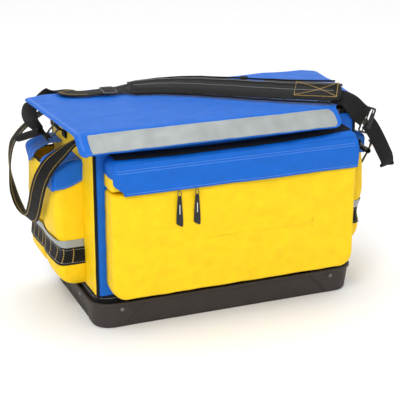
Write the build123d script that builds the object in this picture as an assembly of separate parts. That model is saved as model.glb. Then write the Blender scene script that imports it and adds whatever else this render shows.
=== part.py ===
from build123d import *
import os

# Soft-sided responder kit bag: a fabric box on a moulded base tray, with an overhanging
# lid, a zipped front pocket under a flap, two pockets on each end, carry handles and a
# padded shoulder strap. Millimetres. X runs along the bag, -Y is the front, +Z is up.
# The origin is the middle of the tray's underside.

# ---- driving dimensions --------------------------------------------------------------
TRAY_L = 670.0
TRAY_W = 365.0
TRAY_H = 65.0
TRAY_R = 45.0
TRAY_WALL = 3.5
TRAY_TAPER = 5.0

BODY_L = 650.0
BODY_W = 342.0
BODY_TOP = 452.0
PANEL_T = 8.0
SKIRT_TOP = 82.0
SKIRT_R = 38.0

POCKET_L = 602.0
POCKET_DEPTH = 55.0
POCKET_BOTTOM = 88.0
POCKET_TOP = 424.0
POCKET_WALL = 4.0
POCKET_CORNER = 30.0
ZIP_Z = 344.0
ZIP_GAP = 6.0

FLAP_HINGE_Z = 408.0
FLAP_BOTTOM_Z = 339.0
FLAP_L = 592.0

SIDE_OUT = 390.0
SIDE_BOTTOM = 84.0
SIDE_TOP = 352.0
SIDE_WALL = 4.0
SIDE_FRONT_Y = (-92.0, 38.0)
SIDE_REAR_Y = (44.0, 166.0)
FRONT_FLAP_Y = (-84.0, 12.0)
REAR_FLAP_Y = (70.0, 150.0)
SIDE_HINGE_Z = 389.0

BAND_Z = (138.0, 180.0)
STRIPE_Z = (180.2, 199.0)
BAND_T = 1.6

LID_L = 780.0
LID_BACK = 173.0
LID_FRONT = -186.0
LID_BOTTOM = 470.4
LID_TOP = 477.0
STIFFENER_T = 4.0
LID_CORNER = [(374, 10), (354, -90), (330, -128), (300, -152), (250, -163), (236, LID_FRONT)]
STRIP_FALL = 38.0
STRIP_REACH = 46.0
STRIP_T = 6.0
TAPE_W = 47.0

WEBBING = 50.0
HANDLE_WEBBING = 38.0
WEBBING_T = 3.0
HANDLE_AXIS_X = 336.0
HANDLE_AXIS_Z = 438.0

RING_BAR = 38.0
RING_DEPTH = 34.0
RING_WIRE = 5.0
RING_X = 346.0
LEFT_RING_YZ = (41.0, 434.0)
RIGHT_RING_YZ = (-144.0, 372.0)
RING_WEBBING = 34.0

PAD_W = 62.0
PAD_T = 9.0

PULL_L = 86.0
PULL_T = 3.0

# ---- derived places --------------------------------------------------------------------
HALF_L = BODY_L / 2
HALF_W = BODY_W / 2
POCKET_FRONT = -(HALF_W + POCKET_DEPTH)
SIDES = {"left": -1, "right": 1}


def block(x0, x1, y0, y1, z0, z1):
    """A box between two corners."""
    middle = Pos((x0 + x1) / 2, (y0 + y1) / 2, (z0 + z1) / 2)
    return middle * Box(abs(x1 - x0), abs(y1 - y0), abs(z1 - z0))


def plate_xy(points, z0, z1):
    """A plan outline raised from z0 to z1."""
    face = make_face(Polyline(*points, close=True))
    return Pos(0, 0, z0) * extrude(face, z1 - z0, dir=(0, 0, 1))


def plate_xz(points, y0, y1):
    """An outline of (x, z) points carried along Y."""
    face = make_face(Polyline(*[(x, y0, z) for x, z in points], close=True))
    return extrude(face, y1 - y0, dir=(0, 1, 0))


def plate_yz(points, x0, x1):
    """An outline of (y, z) points carried along X."""
    face = make_face(Polyline(*[(x0, y, z) for y, z in points], close=True))
    return extrude(face, x1 - x0, dir=(1, 0, 0))


def ribbon(stations, width, thick):
    """A flat strap through stations of (middle, width direction), lofted in straight runs."""
    middles = [Vector(*middle) for middle, across in stations]
    sections = []
    for n, (middle, across) in enumerate(stations):
        before = middles[max(n - 1, 0)]
        after = middles[min(n + 1, len(middles) - 1)]
        along = (after - before).normalized()
        side = Vector(*across)
        side = (side - along * side.dot(along)).normalized()
        plane = Plane(origin=middles[n], x_dir=side, z_dir=along)
        sections.append(plane * Rectangle(width, thick))
    runs = [loft([start, end], ruled=True) for start, end in zip(sections, sections[1:])]
    return runs[0].fuse(*runs[1:]) if len(runs) > 1 else runs[0]


def mirrored(shape, side):
    """The left-hand shape, or its mirror image on the right."""
    return shape if side < 0 else mirror(shape, Plane.YZ)


# ---- moulded base ----------------------------------------------------------------------
def base_tray():
    outer = extrude(RectangleRounded(TRAY_L - 14, TRAY_W - 14, TRAY_R - 6), TRAY_H, taper=-TRAY_TAPER)
    outer = chamfer(outer.faces().sort_by(Axis.Z)[0].edges(), 4)
    floor_l = TRAY_L - 14 - 2 * TRAY_WALL
    floor_w = TRAY_W - 14 - 2 * TRAY_WALL
    hollow = extrude(RectangleRounded(floor_l, floor_w, TRAY_R - 9), TRAY_H, taper=-TRAY_TAPER)
    tray = outer - Pos(0, 0, 4) * hollow
    lip = extrude(RectangleRounded(TRAY_L + 3, TRAY_W + 3, TRAY_R), 6)
    lip -= extrude(RectangleRounded(TRAY_L - 3.5, TRAY_W - 3.5, TRAY_R - 3), 6)
    return tray + Pos(0, 0, TRAY_H - 6) * lip


def base_board():
    board = extrude(RectangleRounded(TRAY_L - 32, TRAY_W - 32, TRAY_R - 14), 5)
    return Pos(0, 0, 4.6) * board


def base_skirt():
    outer = RectangleRounded(BODY_L - 0.6, BODY_W - 0.6, SKIRT_R)
    inner = RectangleRounded(BODY_L - 8, BODY_W - 8, SKIRT_R - 4)
    return Pos(0, 0, 14) * extrude(outer - inner, SKIRT_TOP - 14.2)


def tray_rivets():
    """Rivet heads on the tray wall, two to a side."""
    head = Cylinder(4.5, 2.4)
    heads = []
    for sign in (-1, 1):
        for x in (-268, 268):
            heads.append(Pos(x, sign * (TRAY_W / 2 - 0.6), 47) * Rot(90, 0, 0) * head)
        for y in (-60, 60):
            heads.append(Pos(sign * (TRAY_L / 2 - 0.6), y, 47) * Rot(0, 90, 0) * head)
    return Compound(heads)


# ---- fabric box ------------------------------------------------------------------------
def long_panel(sign):
    near = sign * (HALF_W - PANEL_T)
    return block(-HALF_L + PANEL_T, HALF_L - PANEL_T, near, sign * HALF_W, SKIRT_TOP, BODY_TOP)


def end_panel(sign):
    near = sign * (HALF_L - PANEL_T)
    return block(near, sign * HALF_L, -HALF_W + PANEL_T, HALF_W - PANEL_T, SKIRT_TOP, BODY_TOP)


def corner_piping():
    """Piped seams up the four corners."""
    cords = []
    for sx in (-1, 1):
        for sy in (-1, 1):
            place = Pos(sx * (HALF_L - 4), sy * (HALF_W - 4), (SKIRT_TOP + BODY_TOP) / 2)
            cords.append(place * Cylinder(4, BODY_TOP - SKIRT_TOP))
    return Compound(cords)


def rim(z0, z1, inset, thick):
    """Three sides of the mouth, left, front and right, open along the back."""
    x = HALF_L - inset
    y = HALF_W - inset
    outer = block(-x, x, -y, HALF_W - 12, z0, z1)
    return outer - block(-x + thick, x - thick, -y + thick, HALF_W, z0 - 1, z1 + 1)


def back_gusset():
    """The fabric fold that carries the lid along the back edge."""
    return block(-HALF_L + 14, HALF_L - 14, HALF_W - 9, HALF_W - 4, BODY_TOP + 0.2, 461.0)


def main_zip_slider():
    front = -HALF_W
    return block(262, 282, front - 6.5, front - 0.4, 454, 465)


def main_zip_pull():
    front = -HALF_W
    tab = block(268, 276, front - 5, front - 2.6, 432.5, 453.2)
    return fillet(tab.edges().filter_by(Axis.Y), 2)


# ---- front pocket ----------------------------------------------------------------------
def pocket_lower_panel():
    x = POCKET_L / 2
    y = POCKET_FRONT
    c = POCKET_CORNER
    low = POCKET_BOTTOM
    top = ZIP_Z - ZIP_GAP / 2
    outline = [(-x, low + c), (-x + c, low), (x - c, low), (x, low + c), (x, top), (-x, top)]
    return plate_xz(outline, y, y + POCKET_WALL)


def pocket_upper_panel():
    x = POCKET_L / 2
    y = POCKET_FRONT
    low = ZIP_Z + ZIP_GAP / 2
    profile = [(y, low), (y + 4, low), (y + 4, POCKET_TOP - 12), (-HALF_W - 0.2, POCKET_TOP - 4)]
    profile += [(-HALF_W - 0.2, POCKET_TOP), (y + 14, POCKET_TOP - 5), (y, POCKET_TOP - 14)]
    return plate_yz(profile, -x, x)


def pocket_gusset():
    """The wall round the pocket's two ends and underside."""
    x = POCKET_L / 2
    c = POCKET_CORNER
    low = POCKET_BOTTOM
    top = POCKET_TOP - 16.5
    near = POCKET_FRONT + POCKET_WALL
    far = -HALF_W - 0.2
    w = POCKET_WALL
    outer = [(-x, low + c), (-x + c, low), (x - c, low), (x, low + c), (x, top), (-x, top)]
    inner = [(-x + w, low + c + 1.5), (-x + c + 1.5, low + w), (x - c - 1.5, low + w)]
    inner += [(x - w, low + c + 1.5), (x - w, top + 1), (-x + w, top + 1)]
    return plate_xz(outer, near, far) - plate_xz(inner, near - 1, far + 1)


def front_zip_tape():
    x = POCKET_L / 2 - 5
    y = POCKET_FRONT + POCKET_WALL
    return block(-x, x, y, y + 1.2, ZIP_Z - 13, ZIP_Z + 13)


def front_zip_chain():
    x = POCKET_L / 2 - 9
    y = POCKET_FRONT
    return block(-x, x, y + 0.8, y + POCKET_WALL, ZIP_Z - 2.6, ZIP_Z + 2.6)


def pocket_flap():
    """Storm flap: a hem sewn along its top edge and a hanging leaf with a cut-away end."""
    x = FLAP_L / 2
    low = FLAP_BOTTOM_Z
    top = FLAP_HINGE_Z + 2
    y = POCKET_FRONT
    outline = [(-x + 26, low), (x - 10, low), (x, low + 12), (x, top - 8), (x - 8, top)]
    outline += [(-x + 22, top), (-x + 5, top - 8), (-x, top - 24), (-x, low + 30)]
    leaf = plate_xz(outline, y - 9.6, y - 6.6)
    hem = block(-x + 24, x - 10, y - 6.6, y - 2.2, FLAP_HINGE_Z - 3, top)
    return leaf + hem


def front_zip_slider(x):
    y = POCKET_FRONT
    return block(x - 6, x + 6, y - 6.0, y - 0.6, 336, 351)


def front_zip_pull(x):
    """A tapered tab with an angled free end, hung from the slider."""
    y = POCKET_FRONT - 6.5
    low = 335 - PULL_L
    outline = [(x - 3, 334.6), (x + 3, 334.6), (x + 6, low + 8), (x + 3, low), (x - 5, low + 3)]
    return plate_xz(outline, y - PULL_T / 2, y + PULL_T / 2)


# ---- end pockets -----------------------------------------------------------------------
def side_pocket(y0, y1):
    outer = block(-SIDE_OUT, -HALF_L - 0.3, y0, y1, SIDE_BOTTOM, SIDE_TOP)
    outer_edges = outer.edges().filter_by(Axis.Z).group_by(Axis.X)[0]
    outer = fillet(outer_edges, 14)
    w = SIDE_WALL
    inner = block(-SIDE_OUT + w, -HALF_L + 1, y0 + w, y1 - w, SIDE_BOTTOM + w, SIDE_TOP + 1)
    inner_edges = inner.edges().filter_by(Axis.Z).group_by(Axis.X)[0]
    return outer - fillet(inner_edges, 10)


def side_flap(y0, y1):
    z = SIDE_HINGE_Z
    x = -HALF_L - 2
    out = -SIDE_OUT
    profile = [(x, z + 2), (out - 3, z - 14), (out - 6.5, z - 51), (out - 3.5, z - 51)]
    profile += [(out - 0.2, z - 17), (x, z - 2)]
    return plate_xz(profile, y0, y1)


def side_band(z0, z1, out):
    """A band round the front of the front pocket and along the outside of both pockets."""
    x = -SIDE_OUT - out
    front = SIDE_FRONT_Y[0] - out
    r = 14.0
    t = BAND_T
    far = SIDE_REAR_Y[1]
    outer = block(x - t, -HALF_L - 1, front - t, far, z0, z1)
    outer = fillet(outer.edges().filter_by(Axis.Z).group_by(Axis.X)[0].sort_by(Axis.Y)[0], r + t)
    inner = block(x, -HALF_L, front, far + 1, z0 - 1, z1 + 1)
    inner = fillet(inner.edges().filter_by(Axis.Z).group_by(Axis.X)[0].sort_by(Axis.Y)[0], r)
    return outer - inner


# ---- lid -------------------------------------------------------------------------------
def lid_panel():
    x = LID_L / 2
    outline = [(-x, LID_BACK), (x, LID_BACK), *LID_CORNER, (-370, LID_FRONT)]
    return plate_xy(outline, LID_BOTTOM, LID_TOP)


def lid_stiffener():
    under = LID_BOTTOM - 0.2
    return block(-HALF_L + 16, HALF_L - 16, -HALF_W + 16, HALF_W - 16, under - STIFFENER_T, under)


def lid_front_strip():
    """The lid's front edge, sloping down over the zip."""
    y = LID_FRONT - 0.2
    z = LID_TOP
    n = STRIP_T
    profile = [(y, z), (y - STRIP_REACH, z - STRIP_FALL), (y - STRIP_REACH + 4, z - STRIP_FALL - 4)]
    profile += [(y, z - n)]
    return plate_yz(profile, -368, 262)


def lid_reflective_tape():
    slope = Vector(0, -STRIP_REACH, -STRIP_FALL).normalized()
    out = Vector(0, -STRIP_FALL, STRIP_REACH).normalized()
    start = Vector(0, LID_FRONT - 0.2, LID_TOP) + slope * 8 + out * 0.3
    a = start
    b = start + slope * TAPE_W
    c = b + out * 1.2
    d = a + out * 1.2
    return plate_yz([(p.Y, p.Z) for p in (a, b, c, d)], -344, 250)


def lid_zip_tape():
    return rim(462.6, LID_BOTTOM - STIFFENER_T - 0.6, 2.5, 3)


# ---- carry handles ---------------------------------------------------------------------
def carry_handle():
    """A webbing loop hung outside the end pockets, from two anchors near the top corners."""
    flat = (0, 1, 0)
    turned = (0, -1, 0)
    stations = [
        ((-337, -104, 436), flat),
        ((-372, -104, 416), (-0.3, 0.9, 0.2)),
        ((-404, -100, 388), (-0.55, 0.7, 0.45)),
        ((-422, -86, 352), (-0.64, 0.55, 0.53)),
        ((-426, -58, 310), (-0.67, 0.5, 0.55)),
        ((-425, -20, 262), (-0.68, 0.47, 0.56)),
        ((-423, 22, 226), (-0.7, 0.4, 0.58)),
        ((-425, 66, 214), (-0.75, 0, 0.66)),
        ((-430, 108, 228), (-0.75, -0.4, 0.5)),
        ((-436, 136, 262), (-0.6, -0.75, 0.25)),
        ((-438, 150, 312), (-0.2, -0.97, 0.1)),
        ((-428, 165, 362), turned),
        ((-408, 173, 388), turned),
        ((-380, 173, 412), turned),
        ((-338, 173, 436), turned),
    ]
    return ribbon(stations, HANDLE_WEBBING, 4.0)


def handle_anchors():
    """Webbing tabs, sewn to the end panels, that hold the carry handles."""
    tabs = []
    for sign in (-1, 1):
        for y0, y1 in ((-123, -89), (147, 163)):
            x0 = sign * (HALF_L + 0.3)
            tabs.append(block(x0, x0 + sign * 4, y0, y1, 404, 446))
    return Compound(tabs)


# ---- shoulder strap hardware -------------------------------------------------------------
def ring_frame(y, z):
    """The plane of a ring: its bar along Y, its bow pointing out and down."""
    return Plane(origin=(-RING_X, y, z), x_dir=(0, 1, 0), z_dir=(-1, 0, 1))


def d_ring(y, z):
    r = RING_WIRE / 2
    half = RING_BAR / 2
    deep = RING_DEPTH
    corners = [(-half, 0), (half, 0), (half, 10), (half - 9, deep), (-half + 9, deep), (-half, 10)]
    ring = None
    for n, start in enumerate(corners):
        a = Vector(*start)
        b = Vector(*corners[(n + 1) % len(corners)])
        rod = Plane(origin=(a + b) / 2, z_dir=b - a) * Cylinder(r, (b - a).length)
        rod += Pos(a.X, a.Y, 0) * Sphere(r)
        ring = rod if ring is None else ring + rod
    return ring_frame(y, z) * ring


def d_ring_anchor(y, z):
    """A webbing tab sewn to the end panel, reaching over the ring's bar."""
    x = -HALF_L - 0.3
    clear = RING_WIRE / 2 + 0.8
    profile = [(x, z + 12), (x - 12, z + 12), (-RING_X - 4, z + clear + 3), (-RING_X - 4, z + clear)]
    profile += [(-RING_X + clear, z + clear), (-RING_X + clear, z - clear - 3), (x, z - 30)]
    return plate_xz(profile, y - RING_WEBBING / 2, y + RING_WEBBING / 2)


def strap_end(y, z):
    """The strap's sewn end, wrapped round the bow of the ring."""
    deep = (RING_DEPTH + 6) * 0.7071
    x = -RING_X - deep
    stations = [
        ((x + 2, y, z - deep - 2), (0, 1, 0)),
        ((x - 9, y, z - deep - 2), (0, 1, 0)),
        ((x - 13, y, z - deep + 8), (0, 1, 0)),
        ((x - 8, y, z - deep + 26), (0, 1, 0)),
    ]
    return ribbon(stations, RING_WEBBING, 4)


def strap_drop_left():
    """From the left ring, back under the lid's overhang and up behind its back edge."""
    stations = [
        ((-378, 74, 452), (1, 0.3, 0)),
        ((-368, 122, 456), (1, 0.2, 0)),
        ((-360, 168, 456), (1, 0.4, 0)),
        ((-338, 199, 455), (1, -0.5, 0.2)),
        ((-308, 203, 453), (0.6, 0, -0.8)),
    ]
    return ribbon(stations, 26, WEBBING_T)


def strap_webbing_left():
    """On the lid, from its back edge to the pad."""
    stations = [
        ((-292, 160, 480), (1, 0.35, 0)),
        ((-276, 128, 480.4), (0.8, 0.75, 0)),
        ((-236, 116, 481), (0.25, 1, 0)),
        ((-158, 114, 482), (0.1, 1, 0.05)),
    ]
    return ribbon(stations, WEBBING, WEBBING_T)


def frame_buckle(length, height, thick, bar):
    """A flat frame with two slots either side of a middle bar."""
    frame = Box(length, height, thick)
    slot_h = (height - 3 * bar) / 2
    for sign in (-1, 1):
        frame -= Pos(0, sign * (slot_h + bar) / 2, 0) * Box(length - 2 * bar, slot_h, thick + 2)
    return fillet(frame.edges().filter_by(Axis.Z).group_by(Axis.X)[0], 3)


def tri_glide():
    return Pos(-196, 114, 487.2) * Rot(0, 2, 86) * frame_buckle(60, 34, 3.4, 5)


def strap_pad():
    """A padded sleeve lying across the lid, tipped towards the front at its right end."""
    stations = [
        ((-134, 118, 491), (0.52, 0.82, 0.12)),
        ((-20, 58, 497), (0.52, 0.80, 0.26)),
        ((120, -40, 500), (0.52, 0.78, 0.36)),
        ((222, -112, 500), (0.50, 0.76, 0.42)),
        ((286, -160, 494), (0.48, 0.70, 0.52)),
    ]
    return ribbon(stations, PAD_W, PAD_T)


def pad_keeper():
    """A small loop across the back edge of the pad."""
    stations = [((95, -22, 508.5), (0.8, -0.56, 0)), ((111, 2, 518.5), (0.8, -0.56, 0))]
    return ribbon(stations, 16, 2.4)


def strap_webbing_right():
    """From the pad over the lid's right-hand front corner to the ladder lock."""
    stations = [
        ((292, -165, 492), (0.48, 0.68, 0.55)),
        ((312, -175, 474), (0.55, 0.30, 0.75)),
        ((321, -178, 456), (0.45, 0.05, 0.89)),
    ]
    return ribbon(stations, WEBBING, WEBBING_T)


def ladder_lock():
    """It hangs below the lid's cut-away corner, in front of the body's corner seam."""
    place = Plane(origin=(351, -178, 432), x_dir=(0.34, 0, 0.94), z_dir=(0, -1, 0))
    return place * frame_buckle(64, 28, 5, 5)


def strap_drop_right():
    """Slack webbing from the ladder lock down to a fold and back up to the right ring."""
    stations = [
        ((377, -179, 392), (0.85, 0, 0.53)),
        ((399, -178, 352), (0.85, 0, 0.53)),
        ((413, -176, 326), (0.92, 0, 0.38)),
        ((418, -168, 310), (1, 0, 0)),
        ((417, -160, 320), (1, 0, 0)),
        ((416, -155, 340), (1, 0, 0)),
    ]
    return ribbon(stations, 40, WEBBING_T)


def nodes():
    made = {
        "base_tray": base_tray(),
        "base_board": base_board(),
        "base_skirt": base_skirt(),
        "tray_rivets": tray_rivets(),
        "front_panel": long_panel(-1),
        "back_panel": long_panel(1),
        "corner_piping": corner_piping(),
        "main_zip_tape": rim(BODY_TOP + 0.2, 459.0, 2.5, 3),
        "main_zip_chain": rim(459.2, 462.2, 1.5, 5),
        "main_zip_slider": main_zip_slider(),
        "main_zip_pull": main_zip_pull(),
        "back_gusset": back_gusset(),
        "front_pocket_panel": pocket_lower_panel(),
        "front_pocket_yoke": pocket_upper_panel(),
        "front_pocket_gusset": pocket_gusset(),
        "front_zip_tape": front_zip_tape(),
        "front_zip_chain": front_zip_chain(),
        "front_pocket_flap": pocket_flap(),
        "front_zip_slider_left": front_zip_slider(-147),
        "front_zip_slider_right": front_zip_slider(-105),
        "front_zip_pull_left": front_zip_pull(-147),
        "front_zip_pull_right": front_zip_pull(-105),
        "handle_anchors": handle_anchors(),
        "lid_panel": lid_panel(),
        "lid_stiffener": lid_stiffener(),
        "lid_front_strip": lid_front_strip(),
        "lid_reflective_tape": lid_reflective_tape(),
        "lid_zip_tape": lid_zip_tape(),
        "strap_drop_left": strap_drop_left(),
        "strap_webbing_left": strap_webbing_left(),
        "tri_glide": tri_glide(),
        "strap_pad": strap_pad(),
        "pad_keeper": pad_keeper(),
        "strap_webbing_right": strap_webbing_right(),
        "ladder_lock": ladder_lock(),
        "strap_drop_right": strap_drop_right(),
    }
    for name, side in SIDES.items():
        made[f"{name}_panel"] = end_panel(side)
        made[f"{name}_front_pocket"] = mirrored(side_pocket(*SIDE_FRONT_Y), side)
        made[f"{name}_rear_pocket"] = mirrored(side_pocket(*SIDE_REAR_Y), side)
        made[f"{name}_front_flap"] = mirrored(side_flap(*FRONT_FLAP_Y), side)
        made[f"{name}_rear_flap"] = mirrored(side_flap(*REAR_FLAP_Y), side)
        made[f"{name}_webbing_band"] = mirrored(side_band(*BAND_Z, 0.4), side)
        made[f"{name}_reflective_band"] = mirrored(side_band(*STRIPE_Z, 0.4), side)
        made[f"carry_handle_{name}"] = mirrored(carry_handle(), side)
        place = LEFT_RING_YZ if side < 0 else RIGHT_RING_YZ
        made[f"d_ring_{name}"] = mirrored(d_ring(*place), side)
        made[f"d_ring_anchor_{name}"] = mirrored(d_ring_anchor(*place), side)
        made[f"strap_end_{name}"] = mirrored(strap_end(*place), side)
    return made


os.makedirs("parts", exist_ok=True)
for node, shape in nodes().items():
    export_step(shape, f"parts/{node}.step")
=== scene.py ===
import math
import bpy
import bmesh
from mathutils import Matrix, Vector, noise


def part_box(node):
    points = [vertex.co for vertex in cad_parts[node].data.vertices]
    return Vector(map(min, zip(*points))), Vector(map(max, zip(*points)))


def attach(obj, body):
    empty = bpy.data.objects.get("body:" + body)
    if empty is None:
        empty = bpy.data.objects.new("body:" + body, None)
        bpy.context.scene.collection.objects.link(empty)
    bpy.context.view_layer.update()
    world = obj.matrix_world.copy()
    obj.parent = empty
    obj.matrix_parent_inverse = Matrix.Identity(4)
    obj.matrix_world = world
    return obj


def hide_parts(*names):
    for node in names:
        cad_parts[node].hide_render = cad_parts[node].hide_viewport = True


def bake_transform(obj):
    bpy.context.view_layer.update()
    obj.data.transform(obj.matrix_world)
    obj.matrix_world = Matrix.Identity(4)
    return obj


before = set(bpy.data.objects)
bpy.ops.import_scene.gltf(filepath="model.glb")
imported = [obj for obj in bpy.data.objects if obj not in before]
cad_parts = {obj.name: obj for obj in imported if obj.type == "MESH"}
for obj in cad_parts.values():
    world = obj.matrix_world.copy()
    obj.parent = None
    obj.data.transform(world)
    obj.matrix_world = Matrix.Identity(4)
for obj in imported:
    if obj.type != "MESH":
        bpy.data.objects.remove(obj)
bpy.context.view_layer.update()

# ---- camera and light ------------------------------------------------------------------
TARGET = Vector((0.0, 0.024, 0.2))
VIEW_AZIMUTH = -21.834
VIEW_ELEVATION = 19.688
VIEW_DISTANCE = 2.999
LENS_MM = 108.9
SHIFT = (0.0057, 0.0106)

# ---- sizes shared by several pieces ------------------------------------------------------
MM = 0.001
WEBBING_T = 0.0026
STITCH_PITCH = 0.0052
STITCH_LENGTH = 0.0034
STITCH_R = 0.00042
ZIP_PITCH = 0.0034
SIDES = {"left": -1, "right": 1}


def node_box(name):
    """A CAD node's lowest and highest corners."""
    low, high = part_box(name)
    return Vector(low), Vector(high)


def smooth(t):
    """Ease from 0 to 1."""
    t = min(max(t, 0.0), 1.0)
    return t * t * (3 - 2 * t)


def lerp(a, b, t):
    return a + (b - a) * t


def rumple(p, scale, seed=0.0):
    """Smooth noise between -1 and 1 at a point, at a wavelength of about 1 / scale."""
    return noise.noise(Vector((p[0] * scale + seed, p[1] * scale - seed, p[2] * scale + 2 * seed)))


# ---- materials ---------------------------------------------------------------------------
class Shader:
    """A material's node tree, with a Principled shader and short calls for common nodes."""

    def __init__(self, name, colour, roughness):
        self.material = bpy.data.materials.new(name)
        self.material.use_nodes = True
        self.material.diffuse_color = (*colour, 1)
        self.tree = self.material.node_tree
        self.nodes = self.tree.nodes
        self.principled = self.nodes["Principled BSDF"]
        self.colour = colour
        self.set("Base Color", (*colour, 1))
        self.set("Roughness", roughness)
        self.bumps = None
        self.coords = self.nodes.new("ShaderNodeTexCoord")

    def set(self, socket, value):
        self.principled.inputs[socket].default_value = value

    def link(self, a, b):
        self.tree.links.new(a, b)

    def noise(self, scale, detail=3.0, uv=False, stretch=None):
        texture = self.nodes.new("ShaderNodeTexNoise")
        texture.inputs["Scale"].default_value = scale
        texture.inputs["Detail"].default_value = detail
        self.link(self.place(uv, stretch), texture.inputs["Vector"])
        return texture.outputs["Fac"]

    def wave(self, scale, axis, uv=False, distortion=0.0, shape="SIN"):
        texture = self.nodes.new("ShaderNodeTexWave")
        texture.bands_direction = axis
        texture.wave_profile = shape
        texture.inputs["Scale"].default_value = scale
        texture.inputs["Distortion"].default_value = distortion
        self.link(self.place(uv, None), texture.inputs["Vector"])
        return texture.outputs["Fac"]

    def cells(self, scale):
        texture = self.nodes.new("ShaderNodeTexVoronoi")
        texture.inputs["Scale"].default_value = scale
        self.link(self.place(False, None), texture.inputs["Vector"])
        return texture.outputs["Distance"]

    def place(self, uv, stretch):
        source = self.coords.outputs["UV" if uv else "Object"]
        if stretch is None:
            return source
        mapping = self.nodes.new("ShaderNodeMapping")
        mapping.inputs["Scale"].default_value = stretch
        self.link(source, mapping.inputs["Vector"])
        return mapping.outputs["Vector"]

    def math(self, operation, a, b):
        node = self.nodes.new("ShaderNodeMath")
        node.operation = operation
        for socket, value in zip(node.inputs, (a, b)):
            if isinstance(value, (int, float)):
                socket.default_value = value
            else:
                self.link(value, socket)
        return node.outputs[0]

    def bump(self, height, strength, distance):
        """Adds a bump on top of the ones before it."""
        node = self.nodes.new("ShaderNodeBump")
        node.inputs["Strength"].default_value = strength
        node.inputs["Distance"].default_value = distance
        self.link(height, node.inputs["Height"])
        if self.bumps is not None:
            self.link(self.bumps, node.inputs["Normal"])
        self.bumps = node.outputs["Normal"]
        self.link(self.bumps, self.principled.inputs["Normal"])

    def vary_colour(self, fac, dark, light, low=0.3, high=0.7):
        """Colour that drifts between two multiples of the base colour."""
        ramp = self.nodes.new("ShaderNodeValToRGB")
        ramp.color_ramp.elements[0].position = low
        ramp.color_ramp.elements[1].position = high
        ramp.color_ramp.elements[0].color = (*[c * dark for c in self.colour], 1)
        ramp.color_ramp.elements[1].color = (*[min(c * light, 1) for c in self.colour], 1)
        self.link(fac, ramp.inputs["Fac"])
        self.link(ramp.outputs["Color"], self.principled.inputs["Base Color"])
        return ramp

    def vary_roughness(self, fac, low, high):
        node = self.nodes.new("ShaderNodeMapRange")
        node.inputs["To Min"].default_value = low
        node.inputs["To Max"].default_value = high
        self.link(fac, node.inputs["Value"])
        self.link(node.outputs["Result"], self.principled.inputs["Roughness"])


def coated_fabric(name, colour, sheen, crumple):
    """Tightly woven bag cloth with a soft coating: fine weave, broad soft creases, faint wear."""
    s = Shader(name, colour, 0.5)
    s.set("Sheen Weight", sheen)
    s.set("Sheen Roughness", 0.4)
    s.set("Specular IOR Level", 0.25)
    broad = s.noise(9.0, 4.0)
    s.vary_colour(s.noise(38.0, 6.0), 0.93, 1.05)
    s.vary_roughness(s.noise(60.0, 3.0), 0.42, 0.6)
    weave_x = s.wave(330.0, "X", distortion=0.4)
    weave_y = s.wave(330.0, "Y", distortion=0.4)
    weave_z = s.wave(330.0, "Z", distortion=0.4)
    weave = s.math("MULTIPLY", s.math("ADD", weave_x, weave_y), weave_z)
    s.bump(broad, 0.5, crumple)
    s.bump(s.noise(45.0, 5.0), 0.35, 0.0012)
    s.bump(weave, 0.5, 0.00022)
    return s.material


def webbing_cloth(name, colour):
    """Ribbed strap webbing. UVs run across and along the strap in metres."""
    s = Shader(name, colour, 0.75)
    s.set("Sheen Weight", 0.04)
    s.set("Sheen Roughness", 0.5)
    s.set("Specular IOR Level", 0.22)
    ribs = s.wave(210.0, "Y", uv=True, distortion=0.6)
    chevron = s.wave(160.0, "DIAGONAL", uv=True, distortion=0.2)
    s.vary_colour(s.math("MULTIPLY", ribs, s.noise(120.0, 3.0)), 0.7, 1.7, 0.1, 0.9)
    s.vary_roughness(s.noise(90.0, 3.0), 0.62, 0.85)
    s.bump(s.noise(30.0, 4.0), 0.4, 0.0012)
    s.bump(s.math("ADD", ribs, chevron), 0.8, 0.0004)
    return s.material


def pebbled_plastic(name, colour, roughness, pebble):
    """Matt moulded plastic with a fine spark-eroded texture."""
    s = Shader(name, colour, roughness)
    s.set("Specular IOR Level", 0.4)
    s.vary_colour(s.noise(25.0, 6.0), 0.88, 1.12)
    s.vary_roughness(s.noise(140.0, 3.0), roughness - 0.1, roughness + 0.12)
    s.bump(s.noise(500.0, 2.0), 0.5, pebble)
    s.bump(s.cells(650.0), 0.3, pebble)
    return s.material


def worn_metal(name, colour, roughness):
    s = Shader(name, colour, roughness)
    s.set("Metallic", 1.0)
    s.vary_colour(s.noise(70.0, 5.0), 0.75, 1.2)
    s.vary_roughness(s.noise(200.0, 4.0, stretch=(1, 1, 6)), roughness - 0.12, roughness + 0.15)
    s.bump(s.noise(400.0, 3.0), 0.2, 0.0001)
    return s.material


def silver_tape(name):
    """Silver retroreflective tape: fine beads, a soft metallic grey and gentle ripples."""
    s = Shader(name, (0.33, 0.355, 0.35), 0.40)
    s.set("Metallic", 0.45)
    s.vary_colour(s.noise(16.0, 5.0), 0.9, 1.08)
    s.vary_roughness(s.noise(40.0, 4.0), 0.34, 0.52)
    s.bump(s.noise(22.0, 3.0), 0.5, 0.002)
    s.bump(s.cells(900.0), 0.25, 0.0001)
    return s.material


def thread(name, colour):
    s = Shader(name, colour, 0.55)
    s.set("Sheen Weight", 0.3)
    s.vary_colour(s.noise(300.0, 2.0), 0.8, 1.15)
    s.bump(s.wave(900.0, "DIAGONAL"), 0.6, 0.0001)
    return s.material


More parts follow.
